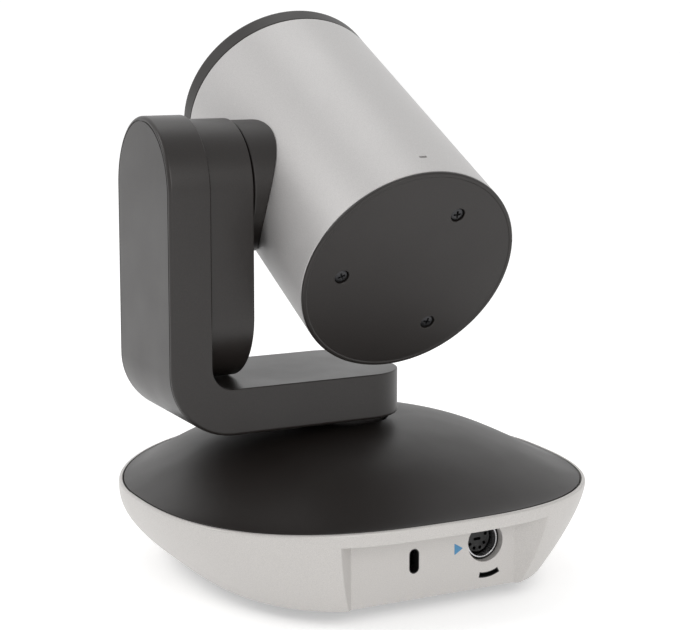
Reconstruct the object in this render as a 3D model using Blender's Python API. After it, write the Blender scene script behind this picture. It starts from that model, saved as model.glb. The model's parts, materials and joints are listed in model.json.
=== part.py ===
"""Desktop pan-tilt-zoom conference camera, modelled as its separate pieces.

Metres, +Z up.  The lens looks along -Y, the connector bay is at +Y and the yoke's arm is on the +X side.
The pan axis is the Z axis.  The tilt axis runs along X at TILT_Z.  The head rests HEAD_TILT above level.
"""
import math

import bmesh
import bpy
from mathutils import Matrix, Vector

MM = 0.001
GAP = 0.3 * MM

# base
BASE_HALF = 65.5 * MM
BASE_HALF_DEPTH = 65.0 * MM
BACK_POWER = 2.7
FRONT_POWER = 1.78
SHELL_BOTTOM = 4.0 * MM
RIM_Z = 26.7 * MM
SHELL_WALL = 2.2 * MM
SIDE_TAPER_BACK = 0.26
SIDE_TAPER_FRONT = 0.235
SIDE_CURVE_BACK = 1.0
SIDE_CURVE_FRONT = 2.7
BACK_TAPER = 0.07
BACK_CURVE = 1.95
FRONT_TAPER = 0.2
FRONT_CURVE = 2.8
COVER_RISE = 15.3 * MM
COVER_HOLE = 14.0 * MM
COVER_WALL = 2.0 * MM
PANEL_Y = 55.4 * MM
PANEL_HALF = 24.8 * MM
BAY_FLARE_ARM = 0.95
BAY_FLARE_FAR = 1.3
BAY_TOP = 22.9 * MM
SOCKET_X = -16.0 * MM
SOCKET_Z = 16.6 * MM
SOCKET_HOLE = 5.4 * MM
LOCK_X = 6.0 * MM
LOCK_Z = 14.4 * MM
INSERT_Y = 51.0 * MM
FOOT_RING = 36.0 * MM
FOOT_RING_WIDTH = 6.0 * MM
TRIPOD_INSERT = 7.0 * MM
TRIPOD_BORE = 3.2 * MM
TRIPOD_Z = 2.6 * MM
BEARING_LOW = 27.2 * MM
BEARING_HIGH = 32.0 * MM
BOARD = 1.6 * MM
PLATE_TOP = 6.6 * MM
CHASSIS_Z = 7.2 * MM

# yoke
ARM_OUT = 60.0 * MM
ARM_SEAM = 48.2 * MM
ARM_IN = 35.3 * MM
YOKE_HALF = 20.1 * MM
HOUSING_HALF = 18.9 * MM
HOUSING_WALL = 1.6 * MM
FOOT_TOP = 57.4 * MM
FOOT_BOTTOM = 44.5 * MM
FOOT_END = -13.2 * MM
FOOT_CORNER = 12.8 * MM
YOKE_BEND = 18.0 * MM
YOKE_INNER_BEND = 6.0 * MM
POCKET_LOW = 82.0 * MM
CHANNEL_HALF = 5.0 * MM
PAN_SHAFT_BORE = 4.5 * MM
PAN_SHAFT_SEAT = 7.3 * MM

# head
TILT_Z = 110.3 * MM
HEAD_TILT = math.radians(27)
TUBE_R = 31.1 * MM
TUBE_IN = 28.9 * MM
TUBE_BACK = 46.4 * MM
TUBE_FRONT = -46.3 * MM
RING_LENGTH = 5.9 * MM
RING_ROUND = 1.3 * MM
CAP_LIP = 0.95 * MM
COVER_SCREW_CIRCLE = 20.2 * MM
HUB_R = 18.3 * MM
SHAFT_R = 5.5 * MM
SHAFT_BORE = 3.0 * MM
WINDOW_R = 24.5 * MM

# gears: teeth, modules, the extra centre distance that gives the backlash, and tooth sizes in modules
GEAR_TEETH = 40
PINION_TEETH = 10
PAN_MODULE = 1.0 * MM
TILT_MODULE = 0.8 * MM
BACKLASH = 0.3 * MM
PAN_PINION_X = -(GEAR_TEETH + PINION_TEETH) / 2 * PAN_MODULE - BACKLASH
TILT_PINION_DROP = (GEAR_TEETH + PINION_TEETH) / 2 * TILT_MODULE + BACKLASH

TOOTH_DEPTH = 1.15
TOOTH_HEIGHT = 0.8
ROOT_THICKNESS = 0.29
TIP_THICKNESS = 0.11

SIDES = 44
FOOT_SIDES = 36
FINE = 26
SMALL = 14

AXIS_MAPS = {
    "X": lambda r, t, h: Vector((h, r * math.cos(t), r * math.sin(t))),
    "Y": lambda r, t, h: Vector((r * math.cos(t), h, r * math.sin(t))),
    "Z": lambda r, t, h: Vector((r * math.cos(t), r * math.sin(t), h)),
}


def clear_scene():
    for obj in list(bpy.context.scene.objects):
        bpy.data.objects.remove(obj, do_unlink=True)


def material(name, colour, roughness, metallic=0.0):
    made = bpy.data.materials.get(name)
    if made is None:
        made = bpy.data.materials.new(name)
        made.use_nodes = True
        shader = made.node_tree.nodes["Principled BSDF"]
        shader.inputs["Base Color"].default_value = (*colour, 1.0)
        shader.inputs["Roughness"].default_value = roughness
        shader.inputs["Metallic"].default_value = metallic
        made.diffuse_color = (*colour, 1.0)
    return made


def silver_paint():
    return material("silver_paint", (0.56, 0.55, 0.53), 0.4, 0.25)


def black_plastic():
    return material("black_plastic", (0.045, 0.043, 0.042), 0.5)


def rubber():
    return material("rubber", (0.03, 0.03, 0.03), 0.85)


def steel():
    return material("steel", (0.6, 0.6, 0.6), 0.3, 1.0)


def brass():
    return material("brass", (0.72, 0.52, 0.22), 0.3, 1.0)


def gear_plastic():
    return material("gear_plastic", (0.78, 0.76, 0.7), 0.5)


def circuit_board():
    return material("circuit_board", (0.03, 0.16, 0.07), 0.5)


def lens_glass():
    return material("lens_glass", (0.05, 0.05, 0.08), 0.05)


def add_object(name, bm, finish, parent=None):
    bmesh.ops.recalc_face_normals(bm, faces=bm.faces)
    mesh = bpy.data.meshes.new(name)
    bm.to_mesh(mesh)
    bm.free()
    mesh.materials.append(finish)
    mesh.shade_smooth()
    mesh.set_sharp_from_angle(angle=math.radians(35))
    obj = bpy.data.objects.new(name, mesh)
    obj.parent = parent
    bpy.context.scene.collection.objects.link(obj)
    return obj


def add_empty(name, location, rotation=(0, 0, 0), parent=None):
    empty = bpy.data.objects.new(name, None)
    empty.location = location
    empty.rotation_euler = rotation
    empty.parent = parent
    bpy.context.scene.collection.objects.link(empty)
    return empty


def loft(rings, closed=False):
    """Joins rings of points with quads.  The ends are capped unless the loft closes on itself."""
    bm = bmesh.new()
    loops = [[bm.verts.new(point) for point in ring] for ring in rings]
    pairs = list(zip(loops, loops[1:]))
    if closed:
        pairs.append((loops[-1], loops[0]))
    else:
        bm.faces.new(loops[0])
        bm.faces.new(list(reversed(loops[-1])))
    for low, high in pairs:
        count = len(low)
        for i in range(count):
            j = (i + 1) % count
            bm.faces.new((low[i], low[j], high[j], high[i]))
    return bm


def turned(profile, axis="Z", sides=SIDES, centre=(0, 0, 0)):
    """Turns a profile of (radius, height) points; a profile that starts and ends off the axis is a ring."""
    place = AXIS_MAPS[axis]
    ring = profile[0][0] > 0
    points = profile if ring else profile[1:-1]
    angles = [2 * math.pi * i / sides for i in range(sides)]
    rings = [[place(r, t, h) for t in angles] for r, h in points]
    bm = loft(rings, closed=ring)
    bmesh.ops.translate(bm, verts=bm.verts, vec=Vector(centre))
    return bm


def ring_profile(inner, outer, low, high):
    return [(outer, low), (outer, high), (inner, high), (inner, low)]


def disc_profile(radius, low, high):
    return [(0, low), (radius, low), (radius, high), (0, high)]


def prism(outline, place_low, place_high):
    """Extrudes an outline of (u, v) points between two placing functions."""
    return loft([[place_low(u, v) for u, v in outline], [place_high(u, v) for u, v in outline]])


def prism_z(outline, low, high):
    return prism(outline, lambda u, v: Vector((u, v, low)), lambda u, v: Vector((u, v, high)))


def prism_y(outline, low, high):
    return prism(outline, lambda u, v: Vector((u, low, v)), lambda u, v: Vector((u, high, v)))


def box(x, y, z):
    return prism_z([(x[0], y[0]), (x[1], y[0]), (x[1], y[1]), (x[0], y[1])], *z)


def arc(centre, radius, start, end, steps):
    """Points on an arc, with its angles in degrees."""
    turns = [math.radians(start + (end - start) * i / steps) for i in range(steps + 1)]
    return [(centre[0] + radius * math.cos(t), centre[1] + radius * math.sin(t)) for t in turns]


def cut(obj, bm, operation="DIFFERENCE"):
    cutter = add_object(obj.name + "_cutter", bm, obj.data.materials[0], obj.parent)
    cutter.hide_render = True
    cutter.display_type = "WIRE"
    modifier = obj.modifiers.new(cutter.name, "BOOLEAN")
    modifier.operation = operation
    modifier.solver = "EXACT"
    modifier.object = cutter
    return cutter


def planform(half_x, half_y, power, z, sides=SIDES):
    """One level of the base: a superellipse whose halves and power depend on how far back a point is."""
    ring = []
    for i in range(sides):
        t = 2 * math.pi * (i + 0.5) / sides
        c, s = math.cos(t), math.sin(t)
        x = half_x(s) * math.copysign(abs(c) ** (2 / power(s)), c)
        y = half_y(s) * math.copysign(abs(s) ** (2 / power(s)), s)
        ring.append(Vector((x, y, z)))
    return ring


def back_or_front(back, front):
    return lambda s: back if s > 0 else front


def shell_ring(z, inset=0.0):
    """The silver shell's outline at a height, moved in by an inset."""
    low = max(0.0, 1 - (z - SHELL_BOTTOM) / (RIM_Z - SHELL_BOTTOM))

    def half_x(s):
        share = (1 + s) / 2
        taper = SIDE_TAPER_FRONT + (SIDE_TAPER_BACK - SIDE_TAPER_FRONT) * share
        curve = SIDE_CURVE_FRONT + (SIDE_CURVE_BACK - SIDE_CURVE_FRONT) * share
        return BASE_HALF * (1 - taper * low ** curve) - inset

    back = BASE_HALF_DEPTH * (1 - BACK_TAPER * low ** BACK_CURVE) - inset
    front = BASE_HALF_DEPTH * (1 - FRONT_TAPER * low ** FRONT_CURVE) - inset
    power = back_or_front(BACK_POWER + 0.25 * math.sqrt(low), FRONT_POWER + 0.4 * low)
    return planform(half_x, back_or_front(back, front), power, z)


def cover_ring(scale, drop=0.0):
    """The top cover's outline at a scale of its edge, lowered by a drop."""
    edge = 1.3 * MM
    half_x, half_y = (BASE_HALF - edge) * scale, (BASE_HALF_DEPTH - edge) * scale
    z = RIM_Z - drop + COVER_RISE * (1 - scale ** 3.17) ** 1.4
    back, front = (2 + (power - 2) * scale ** 1.6 for power in (BACK_POWER, FRONT_POWER))
    return planform(lambda s: half_x, lambda s: half_y, back_or_front(back, front), z)


def bay_outline(grow, back):
    """The connector bay's plan, a trapezoid that opens towards the back."""
    front = PANEL_Y - grow
    half = PANEL_HALF + grow
    depth = back - front
    far, near = half + BAY_FLARE_FAR * depth, half + BAY_FLARE_ARM * depth
    return [(-half, front), (half, front), (near, back), (-far, back)]


def make_lower_shell():
    heights = [SHELL_BOTTOM + (RIM_Z - 1.0 * MM - SHELL_BOTTOM) * f for f in (0, 0.14, 0.3, 0.5, 0.75, 1)]
    outer = [shell_ring(z) for z in heights]
    lip = [shell_ring(RIM_Z - 0.3 * MM, 0.3 * MM), shell_ring(RIM_Z, 0.8 * MM)]
    ledge = [shell_ring(RIM_Z - 0.05 * MM, 1.0 * MM), shell_ring(RIM_Z - 1.6 * MM, 1.5 * MM)]
    inner = [shell_ring(z, SHELL_WALL) for z in (RIM_Z - 1.8 * MM, 17 * MM, 9.5 * MM, SHELL_BOTTOM)]
    shell = add_object("lower_shell", loft(outer + lip + ledge + inner, closed=True), silver_paint())
    block = prism_z(bay_outline(SHELL_WALL, 75 * MM), SHELL_BOTTOM + 0.4 * MM, BAY_TOP + 1.1 * MM)
    bay = cut(shell, block, "UNION")
    cut(bay, loft([shell_ring(z, 0.6 * MM) for z in heights]), "INTERSECT")
    cut(shell, prism_z(bay_outline(0, 75 * MM), -5 * MM, BAY_TOP))
    cut(shell, turned(disc_profile(SOCKET_HOLE, 45 * MM, 60 * MM), "Y", FINE, (SOCKET_X, 0, SOCKET_Z)))
    cut(shell, prism_y(slot_outline(LOCK_X, LOCK_Z, 1.5 * MM, 3.4 * MM), 45 * MM, 60 * MM))
    cut(shell, prism_y(curved_slot_outline(), 45 * MM, 60 * MM))
    cut(shell, box((-7 * MM, 7 * MM), (-75 * MM, -55 * MM), (12.5 * MM, 17.5 * MM)))


def slot_outline(x, z, half_width, half_height):
    straight = half_height - half_width
    top = arc((x, z + straight), half_width, 0, 180, 6)
    return top + arc((x, z - straight), half_width, 180, 360, 6)


def curved_slot_outline():
    centre = (SOCKET_X, SOCKET_Z)
    outer = arc(centre, 9.9 * MM, 243, 282, 6)
    return outer + arc(centre, 8.5 * MM, 282, 243, 6)


def make_top_cover():
    scales = (0.998, 0.97, 0.92, 0.84, 0.74, 0.62, 0.48, 0.34)
    outer = [cover_ring(s) for s in scales]
    hole_top = RIM_Z + COVER_RISE
    lip = []
    for z in (hole_top, hole_top - COVER_WALL):
        lip.append(planform(lambda s: COVER_HOLE, lambda s: COVER_HOLE, lambda s: 2, z))
    inner = [cover_ring(s, COVER_WALL) for s in (0.34, 0.62, 0.84, 0.95)]
    skirt_z = RIM_Z - 1.5 * MM
    skirt = [[Vector((p.x, p.y, skirt_z)) for p in ring] for ring in (cover_ring(0.94), cover_ring(0.975))]
    add_object("top_cover", loft(outer + lip + inner + skirt, closed=True), black_plastic())


def make_bottom_plate():
    outline = shell_ring(SHELL_BOTTOM + 0.6 * MM, SHELL_WALL + 1.4 * MM)
    rings = [[Vector((p.x, min(p.y, PANEL_Y - 3.2 * MM), z)) for p in outline] for z in (4.6 * MM, PLATE_TOP)]
    plate = add_object("bottom_plate", loft(rings), black_plastic())
    cut(plate, turned(disc_profile(7.3 * MM, 0, 20 * MM), sides=FINE))
    groove = turned(ring_profile(FOOT_RING - 6.3 * MM, FOOT_RING + 0.3 * MM, 0, 5.4 * MM), sides=FOOT_SIDES)
    cut(plate, groove)
    for x, y in base_screw_places():
        cut(plate, turned(disc_profile(1.9 * MM, 0, 20 * MM), sides=SMALL, centre=(x, y, 0)))
        cut(plate, turned(disc_profile(3.2 * MM, 0, 5.6 * MM), sides=SMALL, centre=(x, y, 0)))


def base_screw_places():
    return [(x * 36 * MM, y * 26 * MM) for x in (-1, 1) for y in (-1, 1)]


def make_base_screws():
    for index, (x, y) in enumerate(base_screw_places(), 1):
        bm = turned(screw_profile(2.8 * MM, 1.4 * MM, 5.8 * MM, -1.2 * MM), sides=SMALL, centre=(x, y, 0))
        bmesh.ops.translate(bm, verts=bm.verts, vec=Vector((0, 0, 5.2 * MM)))
        screw = add_object(f"base_screw_{index}", bm, steel())
        cut(screw, cross_slot((x, y, 3.9 * MM), "Z", 1.8 * MM, 1.2 * MM))


def screw_profile(head, shank, tip, back):
    """A pan head from back to zero and a shank up to the tip."""
    return [(0, back), (head * 0.75, back), (head, back * 0.6), (head, 0), (shank, 0), (shank, tip), (0, tip)]


def cross_slot(centre, axis, reach, depth):
    """A cross-head recess as a cutter: four arms of a plus sign."""
    arm = reach * 0.28
    outline = []
    for quarter in range(4):
        turn = Matrix.Rotation(quarter * math.pi / 2, 2)
        outline += [turn @ Vector(p) for p in ((reach, -arm), (reach, arm), (arm, arm))]
    x, y, z = centre
    if axis == "Z":
        return prism_z([(x + u, y + v) for u, v in outline], z - depth, z + depth)
    return prism_y([(x + u, z + v) for u, v in outline], y - depth, y + depth)


def make_base_parts():
    make_lower_shell()
    make_top_cover()
    make_bottom_plate()
    make_base_screws()
    foot = ring_profile(FOOT_RING - FOOT_RING_WIDTH, FOOT_RING, 0, 5.1 * MM)
    add_object("foot_ring", turned(foot, sides=FOOT_SIDES), rubber())
    insert = ring_profile(TRIPOD_BORE, TRIPOD_INSERT, TRIPOD_Z, 10 * MM)
    add_object("tripod_insert", turned(insert, sides=FINE), brass())
    chassis = turned(ring_profile(7.6 * MM, 33 * MM, CHASSIS_Z, CHASSIS_Z + 2 * MM))
    add_object("chassis_plate", chassis, steel())
    make_pan_frame()
    outer_race = ring_profile(9.5 * MM, 12 * MM, BEARING_LOW, BEARING_HIGH)
    add_object("pan_bearing_outer", turned(outer_race, sides=FINE), steel())
    motor = motor_profile(8 * MM, 9.5 * MM, 17.2 * MM, 18 * MM)
    add_object("pan_motor", turned(motor, sides=FINE, centre=(PAN_PINION_X, 0, 0)), steel())
    board = box((-26 * MM, 20 * MM), (34.5 * MM, 50 * MM), (8.2 * MM, 8.2 * MM + BOARD))
    add_object("main_board", board, circuit_board())
    make_socket()
    lock = box((LOCK_X - 8 * MM, LOCK_X + 8 * MM), (51.6 * MM, 52.9 * MM), (10.2 * MM, 21 * MM))
    plate = add_object("lock_plate", lock, steel())
    cut(plate, prism_y(slot_outline(LOCK_X, LOCK_Z, 1.6 * MM, 3.5 * MM), 45 * MM, 60 * MM))
    window = box((-6.7 * MM, 6.7 * MM), (-63.1 * MM, -58.5 * MM), (12.8 * MM, 17.2 * MM))
    add_object("ir_window", window, lens_glass())


def motor_profile(radius, back, front, boss_end):
    """A motor's can from its back face to its front face, with the small boss that its shaft leaves by."""
    boss = 3 * MM
    return [(0, back), (radius, back), (radius, front), (boss, front), (boss, boss_end), (0, boss_end)]


def make_pan_frame():
    plate = turned(ring_profile(12.3 * MM, 34 * MM, 27.5 * MM, 31 * MM))
    frame = add_object("pan_frame", plate, black_plastic())
    for angle in (90, 210, 330):
        (x, y), = arc((0, 0), 30 * MM, angle, angle, 1)[:1]
        cut(frame, turned(disc_profile(2.5 * MM, 9.5 * MM, 29 * MM), sides=SMALL, centre=(x, y, 0)), "UNION")


def make_socket():
    """The mini-DIN inlet: housing block, plated shield and the insert with its contact holes."""
    body = box((SOCKET_X - 7 * MM, SOCKET_X + 7 * MM), (42 * MM, 52.9 * MM), (10.1 * MM, 23 * MM))
    block = add_object("din_body", body, black_plastic())
    bore = turned(disc_profile(5.1 * MM, 45 * MM, 60 * MM), "Y", FINE, (SOCKET_X, 0, SOCKET_Z))
    cut(block, bore)
    centre = (SOCKET_X, 0, SOCKET_Z)
    shield = ring_profile(4.35 * MM, 4.8 * MM, 45.3 * MM, 53.6 * MM)
    add_object("din_shield", turned(shield, "Y", FINE, centre), steel())
    contacts = turned(disc_profile(4.05 * MM, 45.3 * MM, INSERT_Y), "Y", FINE, centre)
    insert = add_object("din_insert", contacts, black_plastic())
    for dx, dz in socket_contacts():
        place = (SOCKET_X + dx, 0, SOCKET_Z + dz)
        cut(insert, turned(disc_profile(0.5 * MM, 47 * MM, 54 * MM), "Y", 8, place))
    key_x = (SOCKET_X - 1.1 * MM, SOCKET_X + 1.1 * MM)
    key_z = (SOCKET_Z - 0.7 * MM, SOCKET_Z + 0.1 * MM)
    cut(insert, box(key_x, (47 * MM, 54 * MM), key_z))


def socket_contacts():
    rows = ((2.4, (-1.3, 0.0, 1.3)), (0.9, (-2.6, 2.6)), (-1.6, (-2.2, 2.2)), (-2.8, (-0.9, 0.9)))
    return [(x * MM, z * MM) for z, columns in rows for x in columns]


def tooth_points(teeth, module, phase):
    """The outline of a wheel with flat-flanked teeth, as (radius, angle) points."""
    pitch = teeth * module / 2
    root, tip = pitch - TOOTH_DEPTH * module, pitch + TOOTH_HEIGHT * module
    half_root = ROOT_THICKNESS * math.pi * module / root
    half_tip = TIP_THICKNESS * math.pi * module / tip
    corners = ((root, -half_root), (tip, -half_tip), (tip, half_tip), (root, half_root))
    middles = [phase + 2 * math.pi * tooth / teeth for tooth in range(teeth)]
    return [(r, middle + t) for middle in middles for r, t in corners]


def gear(name, wheel, axis, span, finish, parent):
    """A spur gear.  The wheel is its teeth, module, bore radius and the angle of its first tooth."""
    teeth, module, bore, phase = wheel
    place = AXIS_MAPS[axis]
    outline = tooth_points(teeth, module, phase)
    made = add_object(name, loft([[place(r, t, h) for r, t in outline] for h in span]), finish, parent)
    if bore:
        cut(made, turned(disc_profile(bore, span[0] - 1 * MM, span[1] + 1 * MM), axis, FINE))


def yoke_stations():
    """Cross-sections along the yoke: inner point, outer point and half width, from foot end to arm top."""
    rows = []
    for turn in (0, 20, 40, 60, 78, 90):
        x = FOOT_END + FOOT_CORNER * (1 - math.cos(math.radians(turn)))
        half = YOKE_HALF - FOOT_CORNER * (1 - math.sin(math.radians(turn)))
        rows.append(((x, FOOT_TOP), (x, FOOT_BOTTOM), half))
    inner = arc((ARM_SEAM - YOKE_INNER_BEND, FOOT_TOP + YOKE_INNER_BEND), YOKE_INNER_BEND, -90, 0, 8)
    outer = arc((ARM_OUT - YOKE_BEND, FOOT_BOTTOM + YOKE_BEND), YOKE_BEND, -90, 0, 8)
    rows += [(low, high, YOKE_HALF) for low, high in zip(inner, outer)]
    for turn in (0, 15, 30, 45, 58, 70, 80, 87):
        z = TILT_Z + YOKE_HALF * math.sin(math.radians(turn))
        rows.append(((ARM_SEAM, z), (ARM_OUT, z), YOKE_HALF * math.cos(math.radians(turn))))
    return rows


def make_yoke_frame(parent):
    """The L-shaped frame, with a pocket for the tilt gears and a cable channel from the foot to the pocket."""
    rings = []
    for inner, outer, half in yoke_stations():
        corners = ((inner, -half), (inner, half), (outer, half), (outer, -half))
        rings.append([Vector((x, y, z)) for (x, z), y in corners])
    frame = add_object("yoke_frame", loft(rings), black_plastic(), parent)
    pocket = stadium_prism(HOUSING_HALF - HOUSING_WALL, POCKET_LOW, TILT_Z, ARM_SEAM - 2 * MM, ARM_OUT - 2 * MM)
    cut(frame, pocket)
    channel = box((-6 * MM, 49 * MM), (-CHANNEL_HALF, CHANNEL_HALF), (48 * MM, 54 * MM))
    cut(frame, channel)
    riser_half = CHANNEL_HALF + 0.1 * MM
    riser = box((46 * MM, 52 * MM), (-riser_half, riser_half), (50 * MM, POCKET_LOW + 2 * MM))
    cut(frame, riser)
    cut(frame, turned(disc_profile(PAN_SHAFT_BORE, 40 * MM, 50 * MM), sides=SMALL))


def stadium_ring(radius, low, high, x):
    top = arc((0, high), radius, 0, 180, 12)
    bottom = arc((0, low), radius, 180, 360, 12)
    return [Vector((x, y, z)) for y, z in top + bottom]


def stadium_prism(radius, low, high, x_low, x_high):
    return loft([stadium_ring(radius, low, high, x) for x in (x_low, x_high)])


def make_arm_housing(parent):
    low = FOOT_TOP + HOUSING_HALF + GAP
    inner = HOUSING_HALF - HOUSING_WALL
    seam = ARM_SEAM - GAP
    floor = ARM_IN + HOUSING_WALL
    bm = stadium_prism(HOUSING_HALF, low, TILT_Z, ARM_IN, seam)
    housing = add_object("arm_housing", bm, black_plastic(), parent)
    cut(housing, stadium_prism(inner, low, TILT_Z, floor, seam + 5 * MM))
    corner = (ARM_SEAM - YOKE_INNER_BEND, FOOT_TOP + YOKE_INNER_BEND)
    bend = arc(corner, YOKE_INNER_BEND - GAP, -90, 0, 6)
    below = FOOT_TOP - 10 * MM
    outline = bend + [(ARM_OUT, corner[1]), (ARM_OUT, below), (corner[0], below)]
    cut(housing, prism_y(outline, -30 * MM, 30 * MM))
    cut(housing, turned(disc_profile(8.4 * MM, 30 * MM, 44 * MM), "X", FINE, (0, 0, TILT_Z)))


def make_yoke_parts(parent):
    make_yoke_frame(parent)
    make_arm_housing(parent)
    shaft = ring_profile(PAN_SHAFT_BORE, 7 * MM, 15 * MM, FOOT_BOTTOM - GAP)
    add_object("pan_shaft", turned(shaft, sides=FINE), steel(), parent)
    collar = ring_profile(PAN_SHAFT_SEAT, 12.4 * MM, 40.5 * MM, FOOT_BOTTOM - GAP)
    add_object("pan_collar", turned(collar, sides=FINE), black_plastic(), parent)
    pan_wheel = (GEAR_TEETH, PAN_MODULE, PAN_SHAFT_SEAT, 0)
    gear("pan_gear", pan_wheel, "Z", (20 * MM, 23.5 * MM), gear_plastic(), parent)
    race = ring_profile(PAN_SHAFT_SEAT, 9.1 * MM, BEARING_LOW, BEARING_HIGH)
    add_object("pan_bearing_inner", turned(race, sides=FINE), steel(), parent)
    bearing = ring_profile(SHAFT_R + GAP, 8.1 * MM, ARM_IN + 0.1 * MM, ARM_IN + 3.6 * MM)
    add_object("tilt_bearing", turned(bearing, "X", FINE, (0, 0, TILT_Z)), steel(), parent)
    motor = motor_profile(7.5 * MM, 57.5 * MM, 47 * MM, 46.2 * MM)
    place = (0, 0, TILT_Z - TILT_PINION_DROP)
    add_object("tilt_motor", turned(motor, "X", FINE, place), steel(), parent)


def make_pinions(yoke):
    pan_axis = add_empty("pan_pinion_axis", (PAN_PINION_X, 0, 0))
    pan_wheel = (PINION_TEETH, PAN_MODULE, 0, math.pi / PINION_TEETH)
    gear("pan_pinion", pan_wheel, "Z", (18.4 * MM, 25 * MM), brass(), pan_axis)
    tilt_axis = add_empty("tilt_pinion_axis", (0, 0, TILT_Z - TILT_PINION_DROP), parent=yoke)
    tilt_wheel = (PINION_TEETH, TILT_MODULE, 0, 0)
    gear("tilt_pinion", tilt_wheel, "X", (40.8 * MM, 45.8 * MM), brass(), tilt_axis)


def make_barrel(parent):
    front = TUBE_FRONT + RING_LENGTH + GAP
    back = TUBE_BACK - CAP_LIP - 0.25 * MM
    edge = 0.25 * MM
    profile = [(TUBE_R, front), (TUBE_R, back - edge), (TUBE_R - edge, back), (TUBE_IN, back), (TUBE_IN, front)]
    tube = add_object("barrel_tube", turned(profile, "Y", SIDES), silver_paint(), parent)
    cut(tube, turned(disc_profile(SHAFT_R + 0.5 * MM, 20 * MM, 40 * MM), "X", FINE))
    slot_y = TUBE_BACK - 8.2 * MM
    cut(tube, box((-1.1 * MM, 1.1 * MM), (slot_y - 0.4 * MM, slot_y + 0.4 * MM), (25 * MM, 40 * MM)))


def make_front_ring(parent):
    corner = arc((TUBE_R - RING_ROUND, TUBE_FRONT + RING_ROUND), RING_ROUND, -90, 0, 4)
    back = TUBE_FRONT + RING_LENGTH
    step = TUBE_FRONT + 2.6 * MM
    seat = [(WINDOW_R - 2 * MM, back), (WINDOW_R - 2 * MM, step), (WINDOW_R, step), (WINDOW_R, TUBE_FRONT)]
    profile = corner + [(TUBE_R, back)] + seat
    add_object("front_ring", turned(profile, "Y", SIDES), black_plastic(), parent)
    glass = disc_profile(WINDOW_R - GAP, TUBE_FRONT + 0.9 * MM, TUBE_FRONT + 2.3 * MM)
    add_object("front_glass", turned(glass, "Y", SIDES), lens_glass(), parent)


def make_rear_cover(parent):
    edge, spigot, chamfer = TUBE_R - 0.1 * MM, TUBE_IN - GAP, 0.5 * MM
    back = TUBE_BACK
    lip = TUBE_BACK - CAP_LIP
    front = TUBE_BACK - 3.3 * MM
    rim = [(spigot, front), (spigot, lip), (edge, lip), (edge, back - chamfer), (edge - chamfer, back)]
    profile = [(0, front)] + rim + [(0, back)]
    cover = add_object("rear_cover", turned(profile, "Y", SIDES), black_plastic(), parent)
    for index in range(3):
        (x, z), = arc((0, 0), COVER_SCREW_CIRCLE, 120 * index, 120 * index, 1)[:1]
        cut(cover, turned(disc_profile(2.5 * MM, back - 1.6 * MM, back + 1 * MM), "Y", SMALL, (x, 0, z)))
        cut(cover, turned(disc_profile(1.6 * MM, front - 1 * MM, back), "Y", SMALL, (x, 0, z)))
        seat = back - 1.9 * MM + GAP
        profile = [(r, seat - h) for r, h in screw_profile(2.1 * MM, 1.2 * MM, 8 * MM, -1.0 * MM)]
        screw = add_object(f"rear_screw_{index + 1}", turned(profile, "Y", SMALL, (x, 0, z)), steel(), parent)
        cut(screw, cross_slot((x, seat + 1.0 * MM, z), "Y", 1.3 * MM, 0.7 * MM))


def make_head_drive(parent):
    hub = ring_profile(SHAFT_R + GAP, HUB_R, 22 * MM, ARM_IN - 0.8 * MM)
    collar = add_object("hub_collar", turned(hub, "X", SIDES), black_plastic(), parent)
    cut(collar, turned(disc_profile(TUBE_R + GAP, -40 * MM, 40 * MM), "Y", SIDES))
    flange_low, flange_high, shaft_end = 24.5 * MM, 26 * MM, 45.5 * MM
    shaft = [
        (9 * MM, flange_low), (9 * MM, flange_high), (SHAFT_R, flange_high),
        (SHAFT_R, shaft_end), (SHAFT_BORE, shaft_end), (SHAFT_BORE, flange_low),
    ]
    add_object("tilt_shaft", turned(shaft, "X", FINE), steel(), parent)
    tilt_wheel = (GEAR_TEETH, TILT_MODULE, SHAFT_R + GAP, HEAD_TILT)
    gear("tilt_gear", tilt_wheel, "X", (41 * MM, 45 * MM), gear_plastic(), parent)
    bracket = box((21.3 * MM, 24.1 * MM), (-10 * MM, 10 * MM), (-11 * MM, 11 * MM))
    plate = add_object("head_bracket", bracket, steel(), parent)
    cut(plate, turned(disc_profile(SHAFT_BORE, 15 * MM, 30 * MM), "X", SMALL))


def make_optics(parent):
    housing = [
        (21 * MM, -37 * MM), (21 * MM, -12 * MM), (20 * MM, -12 * MM), (20 * MM, 12 * MM),
        (14 * MM, 12 * MM), (14 * MM, -30 * MM), (17 * MM, -30 * MM), (17 * MM, -37 * MM),
    ]
    add_object("lens_housing", turned(housing, "Y", FINE), black_plastic(), parent)
    retainer = [(20.5 * MM, -39 * MM), (20.5 * MM, -37.3 * MM), (14.8 * MM, -37.3 * MM), (16.3 * MM, -39 * MM)]
    add_object("lens_retainer", turned(retainer, "Y", FINE), black_plastic(), parent)
    front_lens = lens_profile(16.6 * MM, -36.6 * MM, -31 * MM, 1.6 * MM)
    add_object("front_lens", turned(front_lens, "Y", FINE), lens_glass(), parent)
    sensor_board = box((-13 * MM, 13 * MM), (14.2 * MM, 14.2 * MM + BOARD), (-13 * MM, 13 * MM))
    add_object("sensor_board", sensor_board, circuit_board(), parent)
    sensor = box((-4.5 * MM, 4.5 * MM), (12.6 * MM, 13.9 * MM), (-4 * MM, 4 * MM))
    add_object("image_sensor", sensor, lens_glass(), parent)
    head_board = box((-19 * MM, 19 * MM), (34 * MM, 34 * MM + BOARD), (-9 * MM, 9 * MM))
    add_object("head_board", head_board, circuit_board(), parent)


def lens_profile(radius, front, back, bulge):
    """A biconvex lens: its middle is thicker than its edge by the bulge on each side."""
    steps = 2
    rim = [(radius * i / steps, front + bulge * (i / steps) ** 2) for i in range(steps + 1)]
    return rim + [(radius * i / steps, back - bulge * (i / steps) ** 2) for i in range(steps, -1, -1)]


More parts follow.
